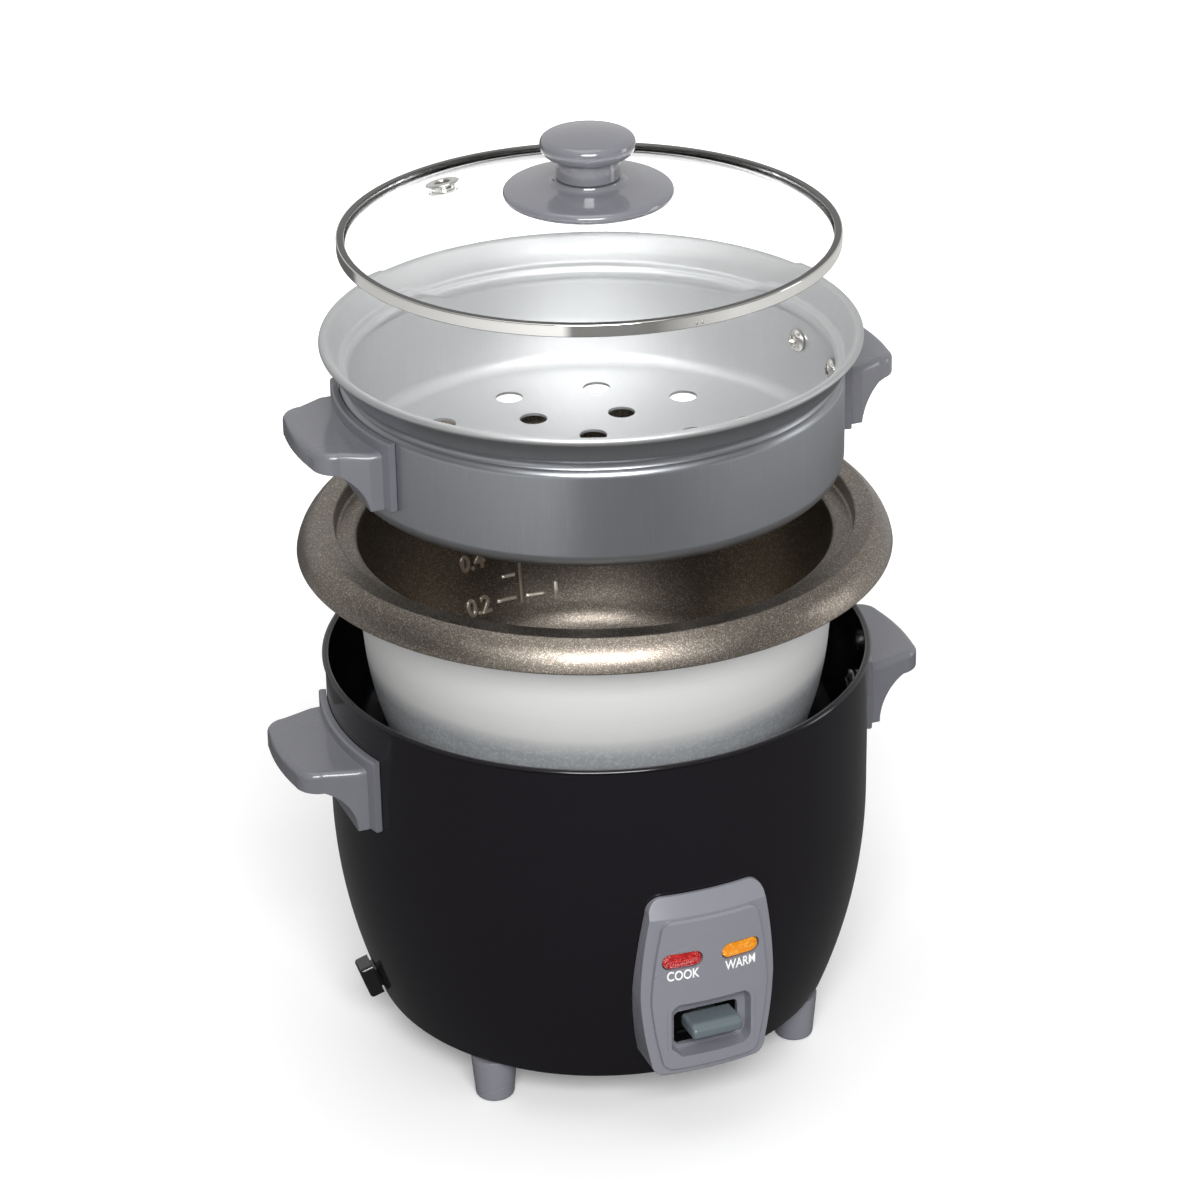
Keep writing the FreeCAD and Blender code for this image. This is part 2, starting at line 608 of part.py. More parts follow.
def frontTool(name, loop, near, far):
    # prism between two distances in front of the axis
    body = newBody(name)
    pushed(body, "XZ_Plane", [loop], far - near, lift=near)
    return body


tubOuter = frontTool("tubOuter", rounded(17.0, 12.4, 5.2, recessZ), 98.6, 106.0)
tubInner = frontTool("tubInner", rounded(15.4, 11.0, 4.0, recessZ), 100.6, 112.0)
switchSlot = frontTool("switchSlot", rounded(12.4, 7.0, 2.0, recessZ - 2.6), 90.0, 104.0)
lensCuts = [frontTool("lensCut", closedSlot(lensX * s, lensZ, 7.6, 6.6), 90.0, 112.0) for s in (-1, 1)]
keep(cut("control_panel", joined("panelTub", [shellPanel, tubOuter]), [tubInner, switchSlot] + lensCuts))

lensRing = newBody("lensRing")
turn(lensRing, [(103.2, lensZ - 5.0), (panelFaceR - 0.5, lensZ - 5.0), (panelFaceR + 0.2, lensZ, 20.0, 1),
                (panelFaceR - 0.5, lensZ + 5.0, 20.0, 1), (103.2, lensZ + 5.0)], 60)
lensRing.Placement = Placement(Vector(0, 0, 0), Rotation(Vector(0, 0, 1), -90))
for label, s in (("cook_lens", -1), ("warm_lens", 1)):
    keep(common(label, frontTool(label + "Slab", closedSlot(lensX * s, lensZ, 7.35, 6.1), 96.0, 112.0), lensRing))


# ---- handles ----------------------------------------------------------------
def handle(name, wallR, low, top, gripTop, tipThick, reach, rootHalf, tipHalf, halfAngle, turnBy):
    low, top, gripTop, reach, wallR = [asDim(n) for n in (low, top, gripTop, reach, wallR)]
    thick, corner, skin = 2.8, 8.0, 3.0
    body = newBody(name + "Blank")
    turn(body, [(wallR, low), (wallR + thick - 0.8, low), (wallR + thick, low + 0.8, 0.8, 1),
                (wallR + thick, top - 1.0), (wallR + thick - 1.0, top, 1.0, 1), (wallR, top)], 2 * halfAngle)
    pushed(body, "XY_Plane", [[
        (wallR - 6.0, -rootHalf), (wallR + 3.0, -rootHalf), (reach - corner, -tipHalf),
        (reach, -(tipHalf - corner), corner, 1), (reach, tipHalf - corner, 90.0, 1),
        (reach - corner, tipHalf, corner, 1), (wallR + 3.0, rootHalf), (wallR - 6.0, rootHalf)]],
        gripTop - low, lift=low)
    tipLow = gripTop - tipThick
    pushed(body, "XZ_Plane", [[
        (reach + 8.0, low - 3.0), (reach + 8.0, tipLow), (wallR + thick + 11.5, tipLow - 1.2),
        (wallR + thick + 0.5, low, 17.0, 1), (wallR + thick + 0.5, low - 3.0)]], 90.0, cutting=True, both=True)
    turn(body, [(wallR - 22.0, low - 3.0), (wallR, low - 3.0), (wallR, top + 3.0), (wallR - 22.0, top + 3.0)],
         cutting=True)
    gripZ = gripTop.value
    outer = wallR.value + thick + 0.6
    soften(body, 2.4, lambda e: abs(e.CenterOfMass.z - gripZ) < 0.01 and e.BoundBox.ZLength < 0.01
           and math.hypot(e.CenterOfMass.x, e.CenterOfMass.y) > outer)
    inset = [(wallR + thick + 0.9, -(rootHalf - skin - 0.4)), (reach - corner, -(tipHalf - skin)),
             (reach - skin, -(tipHalf - corner), corner - skin, 1),
             (reach - skin, tipHalf - corner, 87.0, 1),
             (reach - corner, tipHalf - skin, corner - skin, 1),
             (wallR + thick + 0.9, rootHalf - skin - 0.4)]
    pushed(body, "XY_Plane", [inset], gripTop - low - 0.2, lift=gripTop - 3.4, cutting=True)
    body.Placement = Placement(Vector(0, 0, 0), Rotation(Vector(0, 0, 1), turnBy))
    return body


for label, turnBy in (("body_handle_right", 0), ("body_handle_left", 180)):
    blank = handle(label, shellWallR + 0.15, 110.3, 138.8, 134.8, 7.0, bodyHandleReach, 27.0, 23.6, 17.5, turnBy)
    holes = []
    for a in (-handleScrewAngle, handleScrewAngle):
        hx, hy = around(99.0, turnBy + a)
        holes.append(cylinder("threadHole", 1.75, 9.0, hx, hy, handleScrewZ,
                              Vector(*[n.value for n in around(1.0, turnBy + a)], 0)))
    keep(cut(label, blank, holes))
bodyScrews = []
for side in (0, 180):
    for a in (-handleScrewAngle, handleScrewAngle):
        sx, sy = around(98.5, side + a)
        bodyScrews.append(screw(f"bodyScrew{side}{'a' if a < 0 else 'b'}", 1.7, 6.2, 4.3, 2.4, sx, sy, handleScrewZ,
                                Vector(*[n.value for n in around(1.0, side + a)], 0)))
keep(grouped("handle_screws", bodyScrews))

# ---- inner pot --------------------------------------------------------------
ledgeZ = potHigh - potLedge
keep(turned("inner_pot", [
    (0, 2.0), (17.4, 2.0), (19.4, 0, 2.4, -1), (60.0, 0), (79.2, 16.8, 20.4, 1), (85.6, 48.5, 118.0, 1),
    (potMouthR + 1.2, ledgeZ - 4.5, 420.0, 1), (potMouthR + 2.2, ledgeZ - 1.5, 4.0, -1),
    (potStepR + 0.2, ledgeZ - 1.5), (potStepR + 1.4, ledgeZ - 0.3, 1.2, 1), (potStepR + 1.4, potHigh - 1.6),
    (potFlangeR - 7.4, potHigh - 1.6), (potFlangeR - 1.9, potHigh - 10.2, 13.0, -1),
    (potFlangeR - 1.1, potHigh - 10.9), (potFlangeR - 0.1, potHigh - 10.3, 0.7, 1),
    (potFlangeR - 6.6, potHigh - 0.3, 15.6, 1), (potFlangeR - 7.4, potHigh, 1.4, 1),
    (potStepR + 0.6, potHigh), (potStepR, potHigh - 0.8, 0.9, 1), (potStepR - 0.4, ledgeZ + 1.0),
    (potStepR - 1.4, ledgeZ, 1.1, -1), (potMouthR + 1.2, ledgeZ), (potMouthR - 0.4, ledgeZ - 1.8, 1.9, 1),
    (84.1, 48.5, 418.0, -1), (77.7, 17.4, 116.5, -1), (60.0, 1.5, 18.9, -1), (20.0, 1.5), (17.8, 3.5, 2.8, 1),
    (0, 3.5)], potZ))

# ---- steamer basket ---------------------------------------------------------
seatHigh = basketHigh - 9.0
basketBlank = turned("basketBlank", [
    (0, 0), (basketR - 6.0, 0), (basketR, 6.0, 6.0, 1), (basketR, 34.4), (basketNeckR + 0.3, 37.4, 3.0, 1),
    (basketNeckR, seatHigh - 2.6, 2.8, -1), (basketNeckR + 1.6, seatHigh - 0.9, 1.7, -1),
    (basketNeckR + 2.9, seatHigh + 0.4, 1.7, 1), (basketBeadR - 3.0, basketHigh - 1.2, 17.0, -1),
    (basketBeadR - 1.4, basketHigh - 1.45, 1.6, 1), (basketBeadR - 1.3, basketHigh + 1.45, 1.47, 1),
    (basketBeadR - 3.6, basketHigh - 0.2, 2.4, 1), (basketNeckR + 2.1, seatHigh + 1.2, 18.0, 1),
    (basketNeckR + 1.2, seatHigh + 0.2, 1.2, -1), (basketNeckR - 0.1, seatHigh),
    (basketNeckR - 1.0, seatHigh - 1.0, 1.0, 1), (basketNeckR - 0.7, 37.1, 2.6, 1),
    (basketR - 1.0, 34.2, 2.2, -1), (basketR - 1.0, 6.0), (basketR - 6.0, 1.0, 5.0, -1), (0, 1.0)], basketZ)
steamHoles = []
for ring, count, first in ((65.0, 12, 67.0), (43.0, 8, 54.0), (21.5, 4, 68.0)):
    for i in range(count):
        sx, sy = around(ring, first + 360.0 * i / count)
        steamHoles.append(cylinder("steamHole", holeR, 4.0, sx, sy, basketZ - 1.5))
basketScrewAngle = 9.8
basketScrewZ = 252.5
for side in (0, 180):
    for a in (-basketScrewAngle, basketScrewAngle):
        hx, hy = around(84.0, side + a)
        steamHoles.append(cylinder("basketHole", 2.1, 10.0, hx, hy, basketScrewZ,
                                   Vector(*[n.value for n in around(1.0, side + a)], 0)))
keep(cut("steamer_basket", basketBlank, steamHoles))
for label, turnBy in (("steamer_handle_right", 0), ("steamer_handle_left", 180)):
    blank = handle(label, basketR + 0.15, 235.8, 261.6, 257.2, 6.6, basketHandleReach, 28.0, 23.4, 20.0, turnBy)
    holes = []
    for a in (-basketScrewAngle, basketScrewAngle):
        hx, hy = around(89.4, turnBy + a)
        holes.append(cylinder("threadHole", 1.75, 7.5, hx, hy, basketScrewZ,
                              Vector(*[n.value for n in around(1.0, turnBy + a)], 0)))
    keep(cut(label, blank, holes))
basketScrews = []
for side in (0, 180):
    for a in (-basketScrewAngle, basketScrewAngle):
        sx, sy = around(88.8, side + a)
        basketScrews.append(screw(f"basketScrew{side}{'a' if a < 0 else 'b'}", 1.7, 5.6, 4.4, 2.4, sx, sy,
                                  basketScrewZ, Vector(*[n.value for n in around(1.0, side + a)], 0)))
keep(grouped("steamer_screws", basketScrews))

# ---- lid --------------------------------------------------------------------
glassBlank = turned("glassBlank", [
    (4.0, lidTop - 2.4), (83.0, 1.35, lidDomeR + 3.9, -1), (86.9, 1.35), (86.9, 3.35), (83.0, 3.35),
    (4.0, lidTop, lidDomeR, 1)], lidZ)
ventR, ventAngle = 60.0, 128.0
vx, vy = around(ventR, ventAngle)
ventLean = Vector(vx.value, vy.value, math.sqrt(lidDomeR.value ** 2 - ventR ** 2))
ventHigh = lidZ.value + lidTop.value - ventR ** 2 / (2 * lidDomeR.value) - 1.2
ventPlace = Placement(Vector(vx.value, vy.value, ventHigh), Rotation(Vector(0, 0, 1), ventLean))
ventCut = doc.addObject("Part::Cylinder", "ventCut")
ventCut.Radius, ventCut.Height = 4.5, 12.0
ventCut.Placement = ventPlace.multiply(Placement(Vector(0, 0, -6.0), Rotation()))
keep(cut("lid_glass", glassBlank, [ventCut]))
eyelet = newBody("vent_eyelet")
turn(eyelet, [(2.9, -2.4), (5.6, -2.2), (5.6, -1.7), (4.3, -1.5), (4.3, 1.5), (5.8, 1.6), (6.2, 2.0, 0.45, 1),
              (5.2, 2.6, 1.2, 1), (3.6, 2.6), (2.9, 1.9, 0.9, 1)])
eyelet.Placement = ventPlace
keep(eyelet)
keep(turned("lid_band", [
    (85.6, 0), (87.7, 0), (lidR, 1.0, 1.0, 1), (lidR, 3.5), (87.7, 4.5, 1.0, 1), (86.4, 4.55), (85.9, 4.1, 0.5, 1),
    (86.3, 3.68, 0.5, 1), (87.2, 3.65), (87.9, 3.2, 0.6, -1), (87.9, 1.3), (87.4, 0.8, 0.5, -1), (85.6, 0.8)], lidZ))
keep(turned("knob_base", [
    (3.0, 17.0), (28.4, 16.7), (knobDiscR, 18.4, 1.7, 1), (28.6, 20.1, 1.9, 1), (14.4, 21.7, 120.0, 1),
    (12.0, 23.5, 2.6, -1), (3.0, 23.5)], lidZ))
keep(turned("lid_knob", [
    (1.9, 23.8), (knobStemR - 0.4, 23.8), (knobStemR, 24.2, 0.5, 1), (knobStemR, 30.4), (12.4, 31.6, 1.3, -1),
    (13.8, 31.8), (knobCapR, 35.4, 4.0, 1), (15.0, 38.8, 3.0, 1), (0, 40.3, 75.75, 1), (0, 33.6), (1.9, 33.0)],
    lidZ))
keep(turned("knob_washer", [(2.2, 13.3), (7.4, 13.1), (7.6, 13.5), (7.4, 14.0), (2.2, 14.2)], lidZ))
keep(screw("knob_screw", 1.75, 19.6, 5.2, 2.2, 0, 0, lidZ + 13.0, Vector(0, 0, 1)))

# ---- output -----------------------------------------------------------------
doc.recompute()
for thing in doc.Objects:
    if "Invalid" in thing.State or "Error" in thing.State:
        raise RuntimeError(f"{thing.Label} failed to compute")
os.makedirs("parts", exist_ok=True)
for thing in nodes:
    shape = thing.Shape
    if shape.isNull() or not shape.isValid():
        raise RuntimeError(f"{thing.Label} has no sound shape")
    shape.exportStep(f"parts/{thing.Label}.step")
    print(thing.Label, len(shape.Solids), round(shape.Volume / 1000.0, 2))
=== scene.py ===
import math

import bmesh
import bpy
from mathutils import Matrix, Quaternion, Vector


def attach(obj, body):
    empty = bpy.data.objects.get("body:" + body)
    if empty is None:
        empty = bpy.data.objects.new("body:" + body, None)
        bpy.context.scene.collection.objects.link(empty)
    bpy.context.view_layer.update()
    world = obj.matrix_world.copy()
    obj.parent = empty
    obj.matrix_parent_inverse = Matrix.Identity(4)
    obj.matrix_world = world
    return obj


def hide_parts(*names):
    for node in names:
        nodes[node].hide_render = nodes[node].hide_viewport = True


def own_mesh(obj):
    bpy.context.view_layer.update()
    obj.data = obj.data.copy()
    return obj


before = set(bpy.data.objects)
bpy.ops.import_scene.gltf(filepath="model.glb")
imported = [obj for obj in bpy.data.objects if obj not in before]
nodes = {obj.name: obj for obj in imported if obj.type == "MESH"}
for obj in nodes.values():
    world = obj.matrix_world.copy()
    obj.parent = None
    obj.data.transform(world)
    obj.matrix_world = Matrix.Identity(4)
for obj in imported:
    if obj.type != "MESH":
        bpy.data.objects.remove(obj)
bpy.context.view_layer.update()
scene = bpy.context.scene
mm = 0.001
print("frame loaded:", len(nodes), "nodes")

cameraSet = {
    "lens": 115.0,
    "target": (1.45, -0.57, 170.0),
    "away": (-461.1, -1170.5, 631.05),
    "roll": -1.0,
}


def makeCamera(settings):
    target = Vector(settings["target"]) * mm
    away = Vector(settings["away"]) * mm
    data = bpy.data.cameras.new("camera")
    data.lens = settings["lens"]
    data.sensor_width = 36.0
    camera = bpy.data.objects.new("camera", data)
    scene.collection.objects.link(camera)
    camera.location = target + away
    camera.rotation_mode = "QUATERNION"
    spin = Quaternion((0, 0, 1), math.radians(settings["roll"]))
    camera.rotation_quaternion = (-away).to_track_quat("-Z", "Y") @ spin
    scene.camera = camera


makeCamera(cameraSet)
scene.view_settings.view_transform = "Standard"
print("camera placed")


def add(tree, kind, inputs=None, **settings):
    made = tree.nodes.new("ShaderNode" + kind)
    for key, value in settings.items():
        setattr(made, key, value)
    for key, value in (inputs or {}).items():
        if isinstance(value, bpy.types.NodeSocket):
            tree.links.new(value, made.inputs[key])
        else:
            made.inputs[key].default_value = value
    return made


def calc(tree, operation, a, b=None, c=None, clamp=False):
    inputs = {i: v for i, v in enumerate((a, b, c)) if v is not None}
    return add(tree, "Math", inputs, operation=operation, use_clamp=clamp).outputs[0]


def remap(tree, value, low, high, newLow, newHigh):
    return add(tree, "MapRange", {0: value, 1: low, 2: high, 3: newLow, 4: newHigh}).outputs[0]


def noise(tree, vector, scale, detail=2.0, roughness=0.5):
    return add(tree, "TexNoise", {"Vector": vector, "Scale": scale, "Detail": detail,
                                  "Roughness": roughness}).outputs[0]


def blendColour(tree, mask, first, second):
    made = add(tree, "Mix", data_type="RGBA", clamp_factor=False)
    for index, value in ((0, mask), (6, first), (7, second)):
        if isinstance(value, bpy.types.NodeSocket):
            tree.links.new(value, made.inputs[index])
        else:
            made.inputs[index].default_value = value
    return made.outputs[2]


def startGroup(name, inputs, outputs):
    group = bpy.data.node_groups.new(name, "ShaderNodeTree")
    for label, kind, value in inputs:
        socket = group.interface.new_socket(label, in_out="INPUT", socket_type="NodeSocket" + kind)
        if value is not None:
            socket.default_value = value
    for label, kind in outputs:
        group.interface.new_socket(label, in_out="OUTPUT", socket_type="NodeSocket" + kind)
    start = group.nodes.new("NodeGroupInput")
    end = group.nodes.new("NodeGroupOutput")
    return group, start.outputs, end.inputs


def useGroup(tree, group, **inputs):
    made = tree.nodes.new("ShaderNodeGroup")
    made.node_tree = group
    for key, value in inputs.items():
        if isinstance(value, bpy.types.NodeSocket):
            tree.links.new(value, made.inputs[key])
        else:
            made.inputs[key].default_value = value
    return made.outputs


# mottle: slow and fine changes of tone, as moulded or painted surfaces have
def makeMottle():
    group, given, out = startGroup("mottle", [
        ("Vector", "Vector", None), ("Broad", "Float", 30.0), ("Fine", "Float", 900.0), ("Amount", "Float", 0.05)],
        [("Shade", "Float"), ("Height", "Float")])
    broad = noise(group, given["Vector"], given["Broad"], 3.0)
    fine = noise(group, given["Vector"], given["Fine"], 2.0)
    both = calc(group, "ADD", calc(group, "MULTIPLY", broad, 0.6), calc(group, "MULTIPLY", fine, 0.4))
    swing = calc(group, "MULTIPLY", calc(group, "SUBTRACT", both, 0.5), calc(group, "MULTIPLY", given["Amount"], 2.0))
    group.links.new(calc(group, "ADD", 1.0, swing), out["Shade"])
    group.links.new(fine, out["Height"])
    return group


# turning: cylinder coordinates about the cooker's axis, with no seam
def makeTurning():
    group, _, out = startGroup("turning", [], [
        ("Radius", "Float"), ("Height", "Float"), ("Around", "Vector"), ("Rings", "Vector")])
    spot = add(group, "TexCoord").outputs["Object"]
    parts = add(group, "SeparateXYZ", {0: spot}).outputs
    square = calc(group, "ADD", calc(group, "MULTIPLY", parts[0], parts[0]),
                  calc(group, "MULTIPLY", parts[1], parts[1]))
    radius = calc(group, "SQRT", calc(group, "MAXIMUM", square, 1e-8))
    cosine, sine = calc(group, "DIVIDE", parts[0], radius), calc(group, "DIVIDE", parts[1], radius)
    around = add(group, "CombineXYZ", {0: cosine, 1: sine, 2: calc(group, "MULTIPLY", parts[2], 0.6)}).outputs[0]
    drift = 0.0002  # metres; keeps the rings from being perfectly even round the piece
    rings = add(group, "CombineXYZ", {
        0: calc(group, "ADD", radius, calc(group, "MULTIPLY", cosine, drift)),
        1: calc(group, "MULTIPLY", sine, drift), 2: parts[2]}).outputs[0]
    group.links.new(radius, out["Radius"])
    group.links.new(parts[2], out["Height"])
    group.links.new(around, out["Around"])
    group.links.new(rings, out["Rings"])
    return group


# hairlines: brushing, given coordinates that are already long along the strokes
def makeHairlines():
    group, given, out = startGroup("hairlines", [
        ("Vector", "Vector", None), ("Scale", "Float", 60.0), ("Amount", "Float", 0.1)],
        [("Shade", "Float"), ("Height", "Float")])
    coarse = noise(group, given["Vector"], given["Scale"], 4.0, 0.65)
    fine = noise(group, given["Vector"], calc(group, "MULTIPLY", given["Scale"], 5.0), 3.0, 0.6)
    both = calc(group, "ADD", calc(group, "MULTIPLY", coarse, 0.5), calc(group, "MULTIPLY", fine, 0.5))
    swing = calc(group, "MULTIPLY", calc(group, "SUBTRACT", both, 0.5), calc(group, "MULTIPLY", given["Amount"], 2.0))
    group.links.new(calc(group, "ADD", 1.0, swing), out["Shade"])
    group.links.new(both, out["Height"])
    return group


# flakes: bright metal grains in a coating
def makeFlakes():
    group, given, out = startGroup("flakes", [
        ("Vector", "Vector", None), ("Scale", "Float", 1400.0), ("Share", "Float", 0.35)],
        [("Mask", "Float"), ("Height", "Float")])
    cells = add(group, "TexVoronoi", {"Vector": given["Vector"], "Scale": given["Scale"]})
    tone = add(group, "SeparateColor", {0: cells.outputs["Color"]}).outputs
    mask = remap(group, tone[0], calc(group, "SUBTRACT", 1.0, given["Share"]), 1.0, 0.0, 1.0)
    group.links.new(mask, out["Mask"])
    group.links.new(tone[1], out["Height"])
    return group


# smudges: faint handling marks that only change the gloss
def makeSmudges():
    group, given, out = startGroup("smudges", [
        ("Vector", "Vector", None), ("Scale", "Float", 18.0), ("Amount", "Float", 0.05)], [("Gloss", "Float")])
    cloud = noise(group, given["Vector"], given["Scale"], 1.0, 0.4)
    group.links.new(calc(group, "MULTIPLY", remap(group, cloud, 0.35, 0.85, 0.0, 1.0), given["Amount"]), out["Gloss"])
    return group


# dust: fine specks that settle where a surface faces up
def makeDust():
    group, given, out = startGroup("dust", [
        ("Vector", "Vector", None), ("Scale", "Float", 700.0), ("Amount", "Float", 0.2)], [("Mask", "Float")])
    up = add(group, "SeparateXYZ", {0: add(group, "NewGeometry").outputs["Normal"]}).outputs[2]
    facing = remap(group, up, 0.2, 0.95, 0.0, 1.0)
    specks = remap(group, noise(group, given["Vector"], given["Scale"], 2.0), 0.66, 0.74, 0.0, 1.0)
    group.links.new(calc(group, "MULTIPLY", calc(group, "MULTIPLY", facing, specks), given["Amount"]), out["Mask"])
    return group


# roundedEdge: softens the look of tight corners on moulded parts
def makeRoundedEdge():
    group, given, out = startGroup("roundedEdge", [("Radius", "Float", 0.0004)], [("Normal", "Vector")])
    soft = add(group, "Bevel", {"Radius": given["Radius"]}, samples=4)
    group.links.new(soft.outputs[0], out["Normal"])
    return group


mottle, turning, hairlines, flakes = makeMottle(), makeTurning(), makeHairlines(), makeFlakes()
smudges, dust, roundedEdge = makeSmudges(), makeDust(), makeRoundedEdge()
print("shared effects made")


def newMaterial(name):
    made = bpy.data.materials.new(name)
    made.use_nodes = True
    return made, made.node_tree, made.node_tree.nodes["Principled BSDF"]


def rgba(colour):
    return (colour[0], colour[1], colour[2], 1.0)


def bump(tree, shader, height, strength, distance, normal=None):
    inputs = {"Height": height, "Strength": strength, "Distance": distance}
    if normal is not None:
        inputs["Normal"] = normal
    tree.links.new(add(tree, "Bump", inputs).outputs[0], shader.inputs["Normal"])


def moulded(name, colour, rough=0.3, coat=0.3, coatRough=0.08, vary=0.04, grain=0.06, edge=0.0004):
    made, tree, shader = newMaterial(name)
    spot = add(tree, "TexCoord").outputs["Object"]
    tone = useGroup(tree, mottle, Vector=spot, Broad=28.0, Fine=1500.0, Amount=vary)
    base = blendColour(tree, tone["Shade"], (0, 0, 0, 1), rgba(colour))
    specks = useGroup(tree, dust, Vector=spot, Scale=620.0, Amount=0.08)["Mask"]
    tree.links.new(blendColour(tree, specks, base, (0.6, 0.6, 0.6, 1)), shader.inputs["Base Color"])
    gloss = useGroup(tree, smudges, Vector=spot, Scale=22.0, Amount=0.1)["Gloss"]
    tree.links.new(calc(tree, "ADD", gloss, rough), shader.inputs["Roughness"])
    shader.inputs["Coat Weight"].default_value = coat
    shader.inputs["Coat Roughness"].default_value = coatRough
    shader.inputs["Specular IOR Level"].default_value = 0.5
    bump(tree, shader, tone["Height"], grain, 0.00005, useGroup(tree, roundedEdge, Radius=edge)["Normal"])
    return made


def metal(name, colour, rough=0.3, vary=0.08, strokes="rings", scale=900.0, grain=0.1, edge=0.0002):
    made, tree, shader = newMaterial(name)
    about = useGroup(tree, turning)
    if strokes == "rings":
        lines = useGroup(tree, hairlines, Vector=about["Rings"], Scale=scale, Amount=vary)
    else:
        lines = useGroup(tree, mottle, Vector=add(tree, "TexCoord").outputs["Object"], Broad=90.0, Fine=scale,
                         Amount=vary)
    tree.links.new(blendColour(tree, lines["Shade"], (0, 0, 0, 1), rgba(colour)), shader.inputs["Base Color"])
    shader.inputs["Metallic"].default_value = 1.0
    spot = add(tree, "TexCoord").outputs["Object"]
    gloss = useGroup(tree, smudges, Vector=spot, Scale=30.0, Amount=0.08)["Gloss"]
    tree.links.new(calc(tree, "ADD", gloss, rough), shader.inputs["Roughness"])
    normal = useGroup(tree, roundedEdge, Radius=edge)["Normal"] if edge else None
    bump(tree, shader, lines["Height"], grain, 0.00004, normal)
    return made


def enamel(name, settings):
    made, tree, shader = newMaterial(name)
    spot = add(tree, "TexCoord").outputs["Object"]
    tone = useGroup(tree, mottle, Vector=spot, Broad=14.0, Fine=420.0, Amount=settings["vary"])
    base = blendColour(tree, tone["Shade"], (0, 0, 0, 1), rgba(settings["colour"]))
    specks = useGroup(tree, dust, Vector=spot, Scale=520.0, Amount=0.05)["Mask"]
    tree.links.new(blendColour(tree, specks, base, (0.4, 0.4, 0.4, 1)), shader.inputs["Base Color"])
    gloss = useGroup(tree, smudges, Vector=spot, Scale=11.0, Amount=0.05)["Gloss"]
    tree.links.new(calc(tree, "ADD", gloss, settings["rough"]), shader.inputs["Roughness"])
    shader.inputs["Coat Weight"].default_value = settings["coat"]
    shader.inputs["Coat Roughness"].default_value = 0.05
    shader.inputs["Specular IOR Level"].default_value = settings["specular"]
    bump(tree, shader, tone["Height"], 0.05, 0.00006)
    return made


def sparkle(name, settings):
    made, tree, shader = newMaterial(name)
    spot = add(tree, "TexCoord").outputs["Object"]
    tone = useGroup(tree, mottle, Vector=spot, Broad=35.0, Fine=800.0, Amount=settings["vary"])
    big = useGroup(tree, flakes, Vector=spot, Scale=settings["flake"], Share=0.3)
    small = useGroup(tree, flakes, Vector=spot, Scale=settings["flake"] * 2.3, Share=0.4)
    base = blendColour(tree, tone["Shade"], (0, 0, 0, 1), rgba(settings["colour"]))
    glint = calc(tree, "MAXIMUM", big["Mask"], calc(tree, "MULTIPLY", small["Mask"], 0.7))
    tree.links.new(blendColour(tree, calc(tree, "MULTIPLY", glint, settings["glint"]), base,
                               rgba(settings["flakeColour"])), shader.inputs["Base Color"])
    shader.inputs["Metallic"].default_value = settings["metallic"]
    gloss = useGroup(tree, smudges, Vector=spot, Scale=24.0, Amount=0.08)["Gloss"]
    tree.links.new(calc(tree, "ADD", gloss, settings["rough"]), shader.inputs["Roughness"])
    height = calc(tree, "ADD", calc(tree, "MULTIPLY", big["Height"], 0.6),
                  calc(tree, "MULTIPLY", small["Height"], 0.4))
    bump(tree, shader, height, settings["bump"], 0.00012)
    return made


# bare aluminium: a polished-looking upper band over a more coarsely brushed lower one
def bareBands(name, settings):
    made, tree, shader = newMaterial(name)
    about = useGroup(tree, turning)
    spot = add(tree, "TexCoord").outputs["Object"]
    wobble = calc(tree, "MULTIPLY", noise(tree, spot, 30.0, 2.0), 0.003)
    level = calc(tree, "ADD", about["Height"], wobble)
    split = settings["split"]
    upper = remap(tree, level, split - 0.003, split + 0.004, 0.0, 1.0)
    lines = useGroup(tree, hairlines, Vector=about["Rings"], Scale=1600.0, Amount=settings["vary"])
    specks = useGroup(tree, flakes, Vector=spot, Scale=1100.0, Share=0.5)
    rough = blendColour(tree, specks["Mask"], rgba(settings["lower"]), rgba(settings["lowerFlake"]))
    both = blendColour(tree, upper, rough, rgba(settings["upper"]))
    tree.links.new(blendColour(tree, lines["Shade"], (0, 0, 0, 1), both), shader.inputs["Base Color"])
    shader.inputs["Metallic"].default_value = settings["metallic"]
    tree.links.new(remap(tree, upper, 0.0, 1.0, settings["lowerRough"], settings["upperRough"]),
                   shader.inputs["Roughness"])
    height = calc(tree, "ADD", calc(tree, "MULTIPLY", specks["Height"], remap(tree, upper, 0.0, 1.0, 0.7, 0.05)),
                  calc(tree, "MULTIPLY", lines["Height"], 0.3))
    bump(tree, shader, height, 0.25, 0.00008)
    return made


